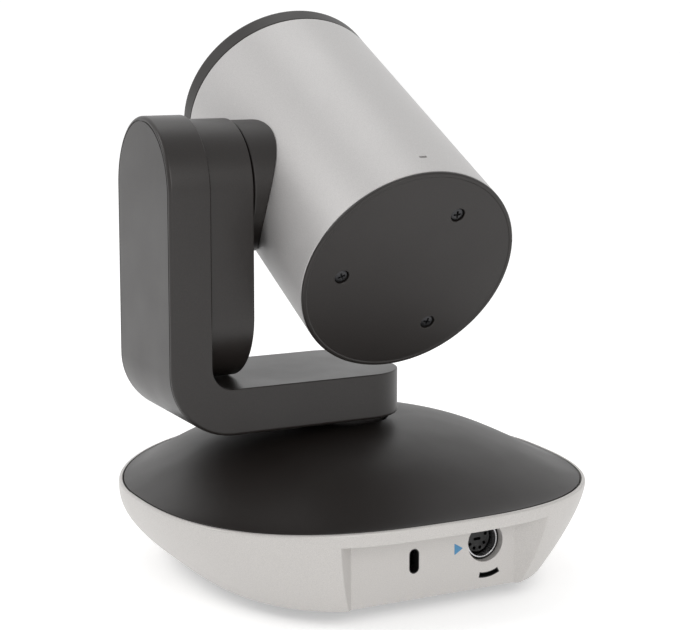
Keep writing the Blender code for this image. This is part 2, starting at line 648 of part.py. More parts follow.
def make_moving_groups(parent):
    for name, middle, radius in (("zoom", -18 * MM, 11 * MM), ("focus", 2 * MM, 9 * MM)):
        cell = ring_profile(radius + GAP, 13.6 * MM, middle - 3.5 * MM, middle + 3.5 * MM)
        add_object(f"{name}_cell", turned(cell, "Y", FINE), black_plastic(), parent)
        glass = lens_profile(radius, middle - 2.5 * MM, middle + 2.5 * MM, 1.2 * MM)
        add_object(f"{name}_lens", turned(glass, "Y", FINE), lens_glass(), parent)


def main():
    clear_scene()
    make_base_parts()
    yoke = add_empty("pan_axis", (0, 0, 0))
    make_yoke_parts(yoke)
    make_pinions(yoke)
    head = add_empty("tilt_axis", (0, 0, TILT_Z), (-HEAD_TILT, 0, 0), yoke)
    make_barrel(head)
    make_front_ring(head)
    make_rear_cover(head)
    make_head_drive(head)
    make_optics(head)
    make_moving_groups(head)


main()
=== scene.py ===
"""Looks of the desktop pan-tilt-zoom camera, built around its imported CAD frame.

Metres, +Z up.  The lens looks along -Y, the connector bay is at +Y and the yoke's arm is on the +X side.
"""
import json
import math

import bmesh
import bpy
import numpy as np
from mathutils import Matrix, Vector


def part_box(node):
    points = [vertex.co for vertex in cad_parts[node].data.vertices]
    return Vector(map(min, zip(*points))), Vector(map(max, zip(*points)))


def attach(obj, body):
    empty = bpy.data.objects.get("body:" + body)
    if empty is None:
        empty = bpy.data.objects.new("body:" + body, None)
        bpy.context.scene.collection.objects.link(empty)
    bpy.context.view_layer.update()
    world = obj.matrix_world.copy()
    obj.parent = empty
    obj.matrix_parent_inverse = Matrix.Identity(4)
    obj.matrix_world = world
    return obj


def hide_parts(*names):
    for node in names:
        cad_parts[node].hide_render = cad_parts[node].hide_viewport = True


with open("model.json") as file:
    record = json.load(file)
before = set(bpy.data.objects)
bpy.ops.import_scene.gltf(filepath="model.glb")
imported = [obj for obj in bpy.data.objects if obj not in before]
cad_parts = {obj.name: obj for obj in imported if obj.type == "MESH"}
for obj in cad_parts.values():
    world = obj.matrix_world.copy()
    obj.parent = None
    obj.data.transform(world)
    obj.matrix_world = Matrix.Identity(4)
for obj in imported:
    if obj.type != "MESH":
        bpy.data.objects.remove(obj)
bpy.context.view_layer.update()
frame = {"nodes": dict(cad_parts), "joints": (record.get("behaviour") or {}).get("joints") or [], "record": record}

MM = 0.001

# places read from the frame
JOINTS = {joint["name"]: joint for joint in frame["joints"]}
TILT_Z = JOINTS["tilt"]["pos_m"][2]
HEAD_TILT = math.asin(JOINTS["zoom"]["axis"][2])
SHELL_LOW, SHELL_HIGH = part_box("lower_shell")
YOKE_LOW, YOKE_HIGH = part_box("yoke_frame")
HOUSING_LOW, HOUSING_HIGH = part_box("arm_housing")
SOCKET_LOW, SOCKET_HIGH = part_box("din_shield")
LOCK_LOW, LOCK_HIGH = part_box("lock_plate")
RING_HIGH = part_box("foot_ring")[1]
INSERT_LOW, INSERT_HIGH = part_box("tripod_insert")
DIN_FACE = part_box("din_insert")[1].y
PLATE_LOW, PLATE_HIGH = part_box("bottom_plate")
COLLAR_LOW, COLLAR_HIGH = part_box("pan_collar")
WINDOW_LOW, WINDOW_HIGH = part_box("ir_window")

# base
BASE_HALF = 65.5 * MM
BASE_HALF_DEPTH = 65.0 * MM
BACK_POWER = 2.7
FRONT_POWER = 1.78
BACK_SQUARING = 0.25
FRONT_SQUARING = 0.4
SHELL_BOTTOM = SHELL_LOW.z
RIM_Z = SHELL_HIGH.z
SHELL_WALL = 2.2 * MM
SIDE_TAPER_BACK = 0.26
SIDE_TAPER_FRONT = 0.235
SIDE_CURVE_BACK = 1.0
SIDE_CURVE_FRONT = 2.7
BACK_TAPER = 0.07
BACK_CURVE = 1.95
FRONT_TAPER = 0.2
FRONT_CURVE = 2.8
COVER_RISE = 15.3 * MM
COVER_HOLE = 14.0 * MM
COVER_WALL = 2.0 * MM
COVER_INSET = 1.3 * MM
COVER_FALL = 3.17
COVER_CROWN = 1.4
COVER_SQUARING = 1.6
COVER_SIDES = 384
PANEL_Y = 55.4 * MM
PANEL_HALF = 24.8 * MM
BAY_FLARE_ARM = 0.95
BAY_FLARE_FAR = 1.3
BAY_TOP = 22.9 * MM
SOCKET_X = (SOCKET_LOW.x + SOCKET_HIGH.x) / 2
SOCKET_Z = (SOCKET_LOW.z + SOCKET_HIGH.z) / 2
SOCKET_HOLE = 5.4 * MM
BAY_CUT = (50 * MM, 60 * MM)
EYE_HOLE = (7 * MM, 2.5 * MM, 0.8 * MM)
EYE_CUT = (-75 * MM, -55 * MM)
EYE_Z = 15 * MM
LOCK_X = (LOCK_LOW.x + LOCK_HIGH.x) / 2
LOCK_Z = 14.4 * MM
LOCK_HALF_WIDTH = 1.5 * MM
LOCK_HALF_HEIGHT = 3.4 * MM
VENT_OUTER_R = 9.9 * MM
VENT_INNER_R = 8.4 * MM
VENT_MIDDLE_R = 9.0 * MM
VENT_START, VENT_END = 243, 282
PLUG_MARK = (-7.6 * MM, 15.9 * MM)
CONTACT_R = 0.5 * MM
RING_WIDTH = 6 * MM
PLATE_REACH = 50
BASE_SCREWS = ("base_screw_1", "base_screw_2", "base_screw_3", "base_screw_4")

# yoke
ARM_OUT = YOKE_HIGH.x
ARM_SEAM = 48.2 * MM
ARM_IN = HOUSING_LOW.x
YOKE_HALF = YOKE_HIGH.y
HOUSING_HALF = HOUSING_HIGH.y
FOOT_TOP = 57.4 * MM
FOOT_BOTTOM = YOKE_LOW.z
FOOT_END = YOKE_LOW.x
FOOT_CORNER = 12.8 * MM
YOKE_BEND = 18.0 * MM
YOKE_INNER_BEND = 6.0 * MM

# head
TUBE_R = 31.1 * MM
TUBE_IN = 28.9 * MM
TUBE_BACK = 46.4 * MM
TUBE_FRONT = -46.3 * MM
RING_LENGTH = 5.9 * MM
RING_ROUND = 1.3 * MM
CAP_LIP = 0.95 * MM
SCREW_CIRCLE = 20.2 * MM
HUB_R = 18.3 * MM
WINDOW_R = 24.5 * MM
GAP = 0.3 * MM
LONG_RUN = 40 * MM

ROUND = 192
FINE_ROUND = 96
SMALL_ROUND = 64
ALONG_X = Matrix.Rotation(math.pi / 2, 4, "Y")
ALONG_Y = Matrix.Rotation(-math.pi / 2, 4, "X")
HEAD = Matrix.Translation((0, 0, TILT_Z)) @ Matrix.Rotation(-HEAD_TILT, 4, "X")


# ---------------------------------------------------------------- mesh tools

def mesh_object(name, points, faces):
    mesh = bpy.data.meshes.new(name)
    mesh.from_pydata([tuple(p) for p in points], [], faces)
    mesh.validate()
    mesh.update()
    obj = bpy.data.objects.new(name, mesh)
    bpy.context.scene.collection.objects.link(obj)
    return obj


def apply_modifiers(obj):
    depsgraph = bpy.context.evaluated_depsgraph_get()
    mesh = bpy.data.meshes.new_from_object(obj.evaluated_get(depsgraph))
    obj.modifiers.clear()
    old = obj.data
    obj.data = mesh
    bpy.data.meshes.remove(old)


def carve(obj, *cutters):
    """Cuts the cutters out of the object and removes them."""
    for cutter in cutters:
        modifier = obj.modifiers.new("carve", "BOOLEAN")
        modifier.operation = "DIFFERENCE"
        modifier.solver = "EXACT"
        modifier.object = cutter
    apply_modifiers(obj)
    for cutter in cutters:
        bpy.data.objects.remove(cutter, do_unlink=True)
    return obj


def piece(obj, finish, body, nodes=(), place=None, sharp=32):
    """Places a finished mesh, shades it, gives it its material and lets it ride on a body."""
    if place is not None:
        obj.data.transform(place)
    obj.data.materials.clear()
    obj.data.materials.append(finish)
    obj.data.shade_smooth()
    obj.data.set_sharp_from_angle(angle=math.radians(sharp))
    normals = obj.modifiers.new("normals", "WEIGHTED_NORMAL")
    normals.keep_sharp = True
    normals.weight = 60
    apply_modifiers(obj)
    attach(obj, body)
    if nodes:
        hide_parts(*nodes)
    return obj


def lofted(name, rings, closed=False):
    """Joins equal rings of points with quads.  The ends are capped unless the loft closes on itself."""
    count = len(rings[0])
    points = [p for ring in rings for p in ring]
    faces = []
    total = len(rings)
    for j in range(total if closed else total - 1):
        low, high = j * count, (j + 1) % total * count
        for i in range(count):
            k = (i + 1) % count
            faces.append((low + i, low + k, high + k, high + i))
    if not closed:
        faces.append(tuple(reversed(range(count))))
        faces.append(tuple(range((total - 1) * count, total * count)))
    return outward(mesh_object(name, points, faces))


def outward(obj):
    """Turns the faces outward."""
    bm = bmesh.new()
    bm.from_mesh(obj.data)
    bmesh.ops.recalc_face_normals(bm, faces=bm.faces)
    bm.to_mesh(obj.data)
    bm.free()
    return obj


def lathe(name, profile, sides=ROUND, centre=(0, 0, 0)):
    """Turns a profile of (radius, height) points about Z.  A profile that leaves the axis is a ring."""
    ring_shaped = profile[0][0] > 1e-9
    angles = [2 * math.pi * i / sides for i in range(sides)]
    turns = [(math.cos(a), math.sin(a)) for a in angles]
    body = profile if ring_shaped else profile[1:-1]
    rings = [[(r * c + centre[0], r * s + centre[1], h + centre[2]) for c, s in turns] for r, h in body]
    return lofted(name, rings, closed=ring_shaped)


def rounded(corners, steps=5, closed=True):
    """Replaces the corners of a path by arcs.  A corner is (u, v) or (u, v, radius)."""
    path = []
    count = len(corners)
    for i, corner in enumerate(corners):
        here = Vector(corner[:2])
        radius = corner[2] if len(corner) > 2 and (closed or 0 < i < count - 1) else 0
        if not radius:
            path.append(tuple(here))
            continue
        before = (Vector(corners[i - 1][:2]) - here).normalized()
        after = (Vector(corners[(i + 1) % count][:2]) - here).normalized()
        half = before.angle(after) / 2
        centre = here + (before + after).normalized() * radius / math.sin(half)
        start = here + before * radius / math.tan(half) - centre
        end = here + after * radius / math.tan(half) - centre
        sweep = start.angle_signed(end)
        for k in range(steps + 1):
            turn = -sweep * k / steps
            c, s = math.cos(turn), math.sin(turn)
            path.append((centre.x + start.x * c - start.y * s, centre.y + start.x * s + start.y * c))
    return path


def in_mm(points):
    """Points given in millimetres, in metres."""
    return [tuple(v * MM for v in point) for point in points]


def prism(name, outline, low, high, place=None):
    """Extrudes an outline of (u, v) points along Z, then places it."""
    obj = lofted(name, [[(u, v, low) for u, v in outline], [(u, v, high) for u, v in outline]])
    if place is not None:
        obj.data.transform(place)
        outward(obj)
    return obj


def arc(centre, radius, start, end, steps):
    turns = [math.radians(start + (end - start) * i / steps) for i in range(steps + 1)]
    return [(centre[0] + radius * math.cos(t), centre[1] + radius * math.sin(t)) for t in turns]


def facing_back(x, z):
    """Maps an outline drawn as seen from behind in (x, z) and extruded along Z into the XZ plane."""
    return Matrix(((1, 0, 0, x), (0, 0, 1, 0), (0, 1, 0, z), (0, 0, 0, 1)))


# ---------------------------------------------------------------- materials

def new_material(name):
    made = bpy.data.materials.new(name)
    made.use_nodes = True
    return made, made.node_tree, made.node_tree.nodes["Principled BSDF"]


def tune(made, **values):
    """Sets a shader node's inputs by name, an underscore for each space, or links them to other outputs."""
    for name, value in values.items():
        socket = made.inputs[name.replace("_", " ")]
        if isinstance(value, bpy.types.NodeSocket):
            made.id_data.links.new(value, socket)
        else:
            socket.default_value = value


def node(tree, kind, **values):
    made = tree.nodes.new(kind)
    tune(made, **values)
    return made


def own_place(tree):
    """A point's place in the object's own metres."""
    return node(tree, "ShaderNodeTexCoord").outputs["Object"]


def noise(tree, scale, detail=2.0, roughness=0.5):
    made = node(tree, "ShaderNodeTexNoise", Vector=own_place(tree), Scale=scale, Detail=detail,
                Roughness=roughness)
    return made.outputs["Fac"]


def ramp(tree, factor, low, high, start=0.3, end=0.7):
    """A colour that runs from low to high as the factor goes from start to end."""
    made = node(tree, "ShaderNodeValToRGB", Fac=factor)
    for stop, place, colour in zip(made.color_ramp.elements, (start, end), (low, high)):
        stop.position = place
        stop.color = (*colour, 1)
    return made.outputs["Color"]


def spread(tree, factor, low, high, start=0.25, end=0.75):
    """A value that runs from low to high as the factor goes from start to end."""
    made = node(tree, "ShaderNodeMapRange", Value=factor, From_Min=start, From_Max=end, To_Min=low,
                To_Max=high)
    return made.outputs["Result"]


def mixed(tree, factor, first, second):
    made = node(tree, "ShaderNodeMix")
    made.data_type = "RGBA"
    for source, index in ((factor, "Factor"), (first, 6), (second, 7)):
        tree.links.new(source, made.inputs[index])
    return made.outputs[2]


def relief(tree, height, strength, distance):
    return node(tree, "ShaderNodeBump", Height=height, Strength=strength, Distance=distance).outputs["Normal"]


def grained(name, low, high, rough, grain, depth, metallic=0.0, coat=0.0, coat_rough=0.3, specular=0.5):
    """A surface with a fine grain over broad, faint cloudiness, in colour, roughness and relief."""
    made, tree, shader = new_material(name)
    fine = noise(tree, grain, 3.0, 0.6)
    broad = noise(tree, 45.0, 4.0, 0.55)
    brighter = [min(1.0, c * 1.06) for c in high]
    darker = [c * 0.95 for c in low]
    colour = mixed(tree, broad, ramp(tree, fine, darker, high), ramp(tree, fine, low, brighter))
    tune(shader, Base_Color=colour, Roughness=spread(tree, broad, *rough), Metallic=metallic,
         Normal=relief(tree, fine, 1.0, depth), Coat_Weight=coat, Coat_Roughness=coat_rough,
         Specular_IOR_Level=specular)
    return made


def brushed(name, low, high, rough, metallic=1.0):
    """Turned or rolled metal, with fine streaks round or along the piece."""
    made, tree, shader = new_material(name)
    stretch = node(tree, "ShaderNodeMapping", Vector=own_place(tree), Scale=(300, 300, 9000))
    streaks = node(tree, "ShaderNodeTexNoise", Vector=stretch.outputs["Vector"], Scale=1.0, Detail=3.0)
    streak = streaks.outputs["Fac"]
    tune(shader, Base_Color=ramp(tree, streak, low, high), Roughness=spread(tree, streak, *rough),
         Normal=relief(tree, streak, 0.6, 0.00001), Metallic=metallic)
    return made


def circuit_board():
    """Solder mask with darker tracks under it."""
    made, tree, shader = new_material("circuit_board")
    tracks = node(tree, "ShaderNodeTexBrick", Vector=own_place(tree), Scale=120.0, Mortar_Size=0.03,
                  Color1=(0.012, 0.09, 0.035, 1), Color2=(0.016, 0.11, 0.04, 1), Mortar=(0.03, 0.2, 0.08, 1))
    tune(shader, Base_Color=tracks.outputs["Color"], Roughness=spread(tree, noise(tree, 400.0), 0.25, 0.4))
    return made


def glass(name, tint, edge_tint, transmission):
    """Coated optical glass: its tint turns at grazing angles."""
    made, tree, shader = new_material(name)
    facing = node(tree, "ShaderNodeLayerWeight", Blend=0.4).outputs["Facing"]
    tune(shader, Base_Color=ramp(tree, facing, tint, edge_tint, 0.1, 0.8),
         Roughness=spread(tree, noise(tree, 30.0), 0.02, 0.05), Transmission_Weight=transmission, IOR=1.5,
         Coat_Weight=0.4)
    return made


SILVER = grained("silver_paint", (0.43, 0.421, 0.418), (0.53, 0.519, 0.513), (0.40, 0.50),
                 5200.0, 0.000006, metallic=0.35, coat=0.12, coat_rough=0.35)
# The shell's silver is warmer and lighter than the barrel's. The warm tint is the shell's own colour; the extra
# lightness is painted light, standing in for the light the shell's panels catch.
SHELL_SILVER_PAINTED_LIGHT = grained("shell_paint_lightened_painted_light", (0.47, 0.455, 0.44), (0.575, 0.556, 0.538), (0.42, 0.52),
                       5200.0, 0.000006, metallic=0.3, coat=0.1, coat_rough=0.35)
BLACK = grained("black_plastic", (0.0085, 0.0066, 0.0058), (0.0145, 0.0113, 0.0100), (0.40, 0.50),
                3600.0, 0.000014)
YOKE_BLACK = grained("yoke_black", (0.0108, 0.0088, 0.0080), (0.0185, 0.0152, 0.0138), (0.33, 0.42),
                     3900.0, 0.000010)
LENS_BLACK = grained("lens_black", (0.006, 0.006, 0.0065), (0.012, 0.012, 0.0125), (0.5, 0.6),
                     2600.0, 0.00002)
CONNECTOR_BLACK = grained("connector_black", (0.006, 0.006, 0.006), (0.012, 0.012, 0.012), (0.35, 0.5),
                          3000.0, 0.00001)
RUBBER = grained("rubber", (0.016, 0.016, 0.0165), (0.03, 0.03, 0.031), (0.75, 0.9),
                 1800.0, 0.00004, specular=0.3)
GEAR_PLASTIC = grained("gear_plastic", (0.66, 0.64, 0.58), (0.76, 0.74, 0.69), (0.35, 0.5),
                       1500.0, 0.00001)
STEEL = brushed("steel", (0.45, 0.45, 0.46), (0.66, 0.66, 0.67), (0.2, 0.36))
DARK_STEEL = brushed("dark_steel", (0.03, 0.03, 0.032), (0.06, 0.06, 0.063), (0.3, 0.45), metallic=0.8)
MOTOR_CAN = brushed("motor_can", (0.35, 0.35, 0.36), (0.52, 0.52, 0.53), (0.25, 0.4))
BRASS = brushed("brass", (0.60, 0.42, 0.16), (0.78, 0.58, 0.27), (0.2, 0.34))
BOARD = circuit_board()
LENS_GLASS = glass("lens_glass", (0.55, 0.62, 0.75), (0.45, 0.25, 0.6), 0.9)
FRONT_GLASS = glass("front_glass", (0.10, 0.10, 0.12), (0.20, 0.22, 0.3), 0.85)
DARK_WINDOW = grained("dark_window", (0.012, 0.004, 0.005), (0.02, 0.007, 0.008), (0.06, 0.1),
                      600.0, 0.000002, coat=0.6, coat_rough=0.05)
SENSOR = grained("sensor", (0.03, 0.05, 0.045), (0.08, 0.12, 0.10), (0.08, 0.15),
                 5000.0, 0.000002, metallic=0.5)
BLUE_INK = grained("blue_ink", (0.045, 0.19, 0.36), (0.065, 0.24, 0.43), (0.35, 0.45),
                   4000.0, 0.000006)

SLOT_FINISHES = {
    "silver_paint": SILVER, "black_plastic": BLACK, "yoke_black": YOKE_BLACK, "lens_black": LENS_BLACK,
    "connector_black": CONNECTOR_BLACK, "rubber": RUBBER, "gear_plastic": GEAR_PLASTIC, "steel": STEEL,
    "motor_can": MOTOR_CAN, "brass": BRASS, "circuit_board": BOARD, "lens_glass": LENS_GLASS,
    "front_glass": FRONT_GLASS, "dark_window": DARK_WINDOW, "sensor": SENSOR,
}


def finish_frame():
    """Gives every CAD node that stays the detailed material of its slot."""
    for part in frame["record"]["subparts"]:
        mesh = frame["nodes"][part["node"]].data
        finish = SLOT_FINISHES[part["material_slot"]]
        if not mesh.materials:
            mesh.materials.append(finish)
        for index in range(len(mesh.materials)):
            mesh.materials[index] = finish


# ---------------------------------------------------------------- base

OUTLINE_STEPS = 6000
EVEN_STEP = 0.06 * MM
EDGE_STEPS = np.array([0, 0.12, 0.25, 0.4, 0.6, 0.9]) * MM
EDGE_ROOM = 2.4 * MM
MAIN_COUNT, WALL_COUNT, PANEL_COUNT = 330, 8, 40
LEAST_WALL = 1.2 * MM
CEILING_ROUND = 0.45 * MM
BAY_BLEND = 1.0 * MM


def superellipse(half_x, half_back, half_front, back_power, front_power, turns):
    """An oval whose back and front halves differ in depth and squareness."""
    c, s = np.cos(turns), np.sin(turns)
    power = np.where(s > 0, back_power, front_power)
    x = half_x * np.sign(c) * np.abs(c) ** (2 / power)
    y = np.where(s > 0, half_back, half_front) * np.sign(s) * np.abs(s) ** (2 / power)
    return np.stack([x, y], axis=1)


def shell_outline(z, inset):
    """A dense outline of the silver shell at a height, counter-clockwise from the back."""
    low = max(0.0, 1 - (z - SHELL_BOTTOM) / (RIM_Z - SHELL_BOTTOM))
    turns = np.linspace(math.pi / 2, 2.5 * math.pi, OUTLINE_STEPS)
    share = (1 + np.sin(turns)) / 2
    taper = SIDE_TAPER_FRONT + (SIDE_TAPER_BACK - SIDE_TAPER_FRONT) * share
    curve = SIDE_CURVE_FRONT + (SIDE_CURVE_BACK - SIDE_CURVE_FRONT) * share
    half_x = BASE_HALF * (1 - taper * low ** curve) - inset
    back = BASE_HALF_DEPTH * (1 - BACK_TAPER * low ** BACK_CURVE) - inset
    front = BASE_HALF_DEPTH * (1 - FRONT_TAPER * low ** FRONT_CURVE) - inset
    back_power = BACK_POWER + BACK_SQUARING * math.sqrt(low)
    front_power = FRONT_POWER + FRONT_SQUARING * low
    return superellipse(half_x, back, front, back_power, front_power, turns)


def lengths_along(path):
    """How far along a path each of its points is."""
    return np.concatenate([[0], np.cumsum(np.hypot(*np.diff(path, axis=0).T))])


def sample(path, lengths, wanted):
    """The places on a path at the wanted lengths along it."""
    return np.stack([np.interp(wanted, lengths, path[:, k]) for k in (0, 1)], axis=1)


def stations(start, end, count):
    """Places along a stretch, closer together at its two ends."""
    step = EDGE_STEPS * min(1.0, (end - start) / EDGE_ROOM)
    middle = np.linspace(start + step[-1], end - step[-1], count)[1:-1]
    return np.concatenate([start + step, middle, (end - step[::-1])[:-1]])


def smooth_corners(path, reach):
    """Evens a closed path with a short running average, which rounds its corners."""
    lengths = lengths_along(path)
    count = int(lengths[-1] / EVEN_STEP)
    even = sample(path, lengths, np.linspace(0, lengths[-1], count, endpoint=False))
    half = max(1, int(reach / EVEN_STEP))
    weights = np.hanning(2 * half + 3)[1:-1]
    weights /= weights.sum()
    wrapped = np.concatenate([even[-half:], even, even[:half]])
    return np.stack([np.convolve(wrapped[:, k], weights, mode="valid") for k in (0, 1)], axis=1)


def shell_paths(z, inset, grow):
    """One height of the shell twice over, point for point: across the bay's mouth, and in round the bay."""
    outline = shell_outline(z, inset)
    front = PANEL_Y - grow
    half = PANEL_HALF + grow
    x, y = outline[:, 0], outline[:, 1]
    depth = y - front
    in_bay = (depth > 0) & (x < half + BAY_FLARE_ARM * depth) & (x > -half - BAY_FLARE_FAR * depth)
    outside = np.flatnonzero(~in_bay)
    main = outline[outside[0]:outside[-1] + 1]
    back = np.concatenate([outline[outside[-1]:], outline[:outside[0] + 1]])
    left, right = main[0], main[-1]
    bay = np.stack([right, (min(half, right[0]), front), (max(-half, left[0]), front), left])
    bay_lengths = lengths_along(bay)
    wall = max(bay_lengths[1], LEAST_WALL)
    main_lengths = lengths_along(main)
    main_points = sample(main, main_lengths, stations(0, main_lengths[-1], MAIN_COUNT))
    bay_at = np.concatenate([
        stations(0, wall, WALL_COUNT)[1:],
        stations(wall, bay_lengths[-1] - wall, PANEL_COUNT)[1:],
        stations(bay_lengths[-1] - wall, bay_lengths[-1], WALL_COUNT)[1:-1],
    ])
    back_lengths = lengths_along(back)
    across = sample(back, back_lengths, bay_at / bay_lengths[-1] * back_lengths[-1])
    return main_points, across, sample(bay, bay_lengths, bay_at)


def rounded_bay(main, inward, reach):
    """Rounds the corners of the path round the bay, keeping its stations."""
    path = np.concatenate([main, inward, main[:1]])
    lengths = lengths_along(path)
    smooth = smooth_corners(path, reach)
    closed = np.concatenate([smooth, smooth[:1]])
    even = np.linspace(0, lengths[-1], len(closed))
    moved = sample(closed, even, lengths[:-1])
    return moved[:len(main)], moved[len(main):]


def shell_ring(z, inset=0.0, grow=0.0, bay=0.0, reach=0.55 * MM, keep=None, bay_z=None):
    """A ring of the shell.  Bay runs from 0, straight across the bay's mouth, to 1, all the way in.
    Keep moves the bay's points out from the inner end by a distance, or in from the mouth when negative."""
    main, across, inward = shell_paths(z, inset, grow)
    if bay:
        main, inward = rounded_bay(main, inward, reach)
    move = inward - across
    size = np.maximum(np.hypot(*move.T), 1e-9)
    wanted = size * bay
    if keep is not None:
        least = np.minimum(CEILING_ROUND, size)
        wanted = np.maximum(size - keep, least) if keep >= 0 else np.minimum(-keep, size)
    placed = across + move * (wanted / size)[:, None]
    depth = np.clip(size / BAY_BLEND, 0, 1)
    blend = depth * depth * (3 - 2 * depth)
    heights = z + (0 if bay_z is None else bay_z - z) * blend
    ring = [(x, y, z) for x, y in main]
    return ring + [(x, y, h) for (x, y), h in zip(placed, heights)]


def bay_cutter(name, outline, x, z):
    """A cutter through the panel at the back of the bay."""
    return prism(name, outline, *BAY_CUT, facing_back(x, z))


def make_lower_shell():
    """The silver shell: foot, bay, bay ceiling, rim, ledge for the cover and inner wall, then its holes."""
    rings = []
    foot = 0.6 * MM
    for turn in (0, 30, 60):
        t = math.radians(turn)
        rings.append(shell_ring(SHELL_BOTTOM + foot * (1 - math.cos(t)), foot * (1 - math.sin(t)), bay=1))
    ceiling, outer, inner = BAY_TOP, CEILING_ROUND, 0.45 * MM
    for z in np.linspace(SHELL_BOTTOM + foot, ceiling - inner, 18):
        rings.append(shell_ring(z, bay=1))
    steps = []
    for turn in (22, 45, 68, 90):
        t = math.radians(turn)
        steps.append((inner * (1 - math.cos(t)), ceiling - inner + inner * math.sin(t)))
    for share in (0.8, 1.2, 2.4):
        steps.append((share * MM + inner, ceiling))
    for turn in (90, 68, 45, 22, 0):
        t = math.radians(turn)
        steps.append((-outer * (1 - math.cos(t)) - 1e-7, ceiling + outer * (1 - math.sin(t))))
    heights = np.linspace(ceiling - inner + 0.05 * MM, ceiling + outer, len(steps) + 1)[1:]
    for (keep, bay_z), z in zip(steps, heights):
        rings.append(shell_ring(z, bay=1, keep=keep, bay_z=bay_z))
    for z in np.linspace(ceiling + outer, RIM_Z - 0.9 * MM, 6)[1:]:
        rings.append(shell_ring(z))
    rim = rounded([(0, 0.9), (0, 0, 0.6), (0.95, 0, 0.22), (0.95, 0.6)], 6, closed=False)[1:]
    ledge = [(1.5, 1.6), (SHELL_WALL / MM, 1.8)]
    for inset, drop in rim + ledge:
        rings.append(shell_ring(RIM_Z - drop * MM, inset * MM))
    rings.append(shell_ring(ceiling + 1.4 * MM, SHELL_WALL))
    for z in (ceiling + 1.1 * MM, 17 * MM, 9.5 * MM, SHELL_BOTTOM + 0.3 * MM, SHELL_BOTTOM):
        rings.append(shell_ring(z, SHELL_WALL, SHELL_WALL, bay=1, reach=0.2 * MM))
    shell = lofted("lower_shell_skin", rings, closed=True)
    lead = 0.12 * MM
    hole = [(0, BAY_CUT[0]), (SOCKET_HOLE, BAY_CUT[0]), (SOCKET_HOLE, PANEL_Y - lead),
            (SOCKET_HOLE + 2 * lead, PANEL_Y + lead), (0, PANEL_Y + lead)]
    hole = lathe("hole", hole, FINE_ROUND)
    hole.data.transform(Matrix.Translation((SOCKET_X, 0, SOCKET_Z)) @ ALONG_Y)
    lock = bay_cutter("lock", slot_outline(LOCK_HALF_WIDTH, LOCK_HALF_HEIGHT), LOCK_X, LOCK_Z)
    vent = bay_cutter("vent", curved_slot(), SOCKET_X, SOCKET_Z)
    eye = prism("eye", rounded_box(*EYE_HOLE), *EYE_CUT, facing_back(0, EYE_Z))
    carve(shell, hole, lock, vent, eye)
    # The shell gets the lightened silver, whose extra lightness is painted light.
    piece(shell, SHELL_SILVER_PAINTED_LIGHT, "base", ["lower_shell"], sharp=28)


def make_panel_liners():
    """Thin dark sleeves that line the lock slot and the curved slot."""
    skin, deep, face = 0.22 * MM, PANEL_Y - SHELL_WALL, PANEL_Y - 0.04 * MM
    margins = (-0.2 * skin, skin)
    lock = [slot_outline(LOCK_HALF_WIDTH - margin, LOCK_HALF_HEIGHT - margin) for margin in margins]
    curved = [curved_slot(margin) for margin in margins]
    for name, (outer, inner), x, z in (("lock_slot_sleeve", lock, LOCK_X, LOCK_Z),
                                       ("vent_slot_sleeve", curved, SOCKET_X, SOCKET_Z)):
        turns = ((outer, deep), (outer, face), (inner, face), (inner, deep))
        rings = [[(u, y, v) for u, v in outline] for outline, y in turns]
        sleeve = lofted(name, rings, closed=True)
        piece(sleeve, CONNECTOR_BLACK, "base", place=Matrix.Translation((x, 0, z)))


def slot_outline(half_width, half_height):
    straight = half_height - half_width
    return arc((0, straight), half_width, 0, 180, 16) + arc((0, -straight), half_width, 180, 360, 16)


def curved_slot(shrink=0.0):
    """The curved slot under the inlet, about the inlet's centre, drawn in by a margin."""
    turn = math.degrees(shrink / VENT_MIDDLE_R)
    start, end = VENT_START + turn, VENT_END - turn
    outer, inner = VENT_OUTER_R - shrink, VENT_INNER_R + shrink
    return arc((0, 0), outer, start, end, 16) + arc((0, 0), inner, end, start, 16)


def rounded_box(half_u, half_v, radius):
    return rounded([(half_u * a, half_v * b, radius) for a, b in ((1, -1), (1, 1), (-1, 1), (-1, -1))])


COVER_TURNS = np.linspace(0, 2 * math.pi, COVER_SIDES, endpoint=False) + math.pi / COVER_SIDES


def cover_ring(scale, drop=0.0):
    """A ring of the top cover, at a share of its full width and a drop below its upper face."""
    half_x = (BASE_HALF - COVER_INSET) * scale
    half_y = (BASE_HALF_DEPTH - COVER_INSET) * scale
    z = RIM_Z - drop + COVER_RISE * max(0.0, 1 - scale ** COVER_FALL) ** COVER_CROWN
    back, front = (2 + (power - 2) * scale ** COVER_SQUARING for power in (BACK_POWER, FRONT_POWER))
    return [(x, y, z) for x, y in superellipse(half_x, half_y, half_y, back, front, COVER_TURNS)]


def make_top_cover():
    scales = np.concatenate([[0.9985, 0.996, 0.992, 0.986], np.linspace(0.975, 0.3, 46)])
    rings = [cover_ring(s) for s in scales]
    top = RIM_Z + COVER_RISE
    for radius, z in ((COVER_HOLE + 0.5 * MM, top), (COVER_HOLE + 0.15 * MM, top - 0.15 * MM),
                      (COVER_HOLE, top - 0.5 * MM), (COVER_HOLE, top - COVER_WALL)):
        rings.append([(radius * math.cos(t), radius * math.sin(t), z) for t in COVER_TURNS])
    rings += [cover_ring(s, COVER_WALL) for s in (0.34, 0.62, 0.84, 0.95)]
    for share, drop in ((0.94, 1.5), (0.975, 1.5), (0.9965, 0.45), (0.9995, 0.12)):
        rings.append([(x, y, RIM_Z - drop * MM) for x, y, _ in cover_ring(share)])
    piece(lofted("top_cover_skin", rings, closed=True), BLACK, "base", ["top_cover"])


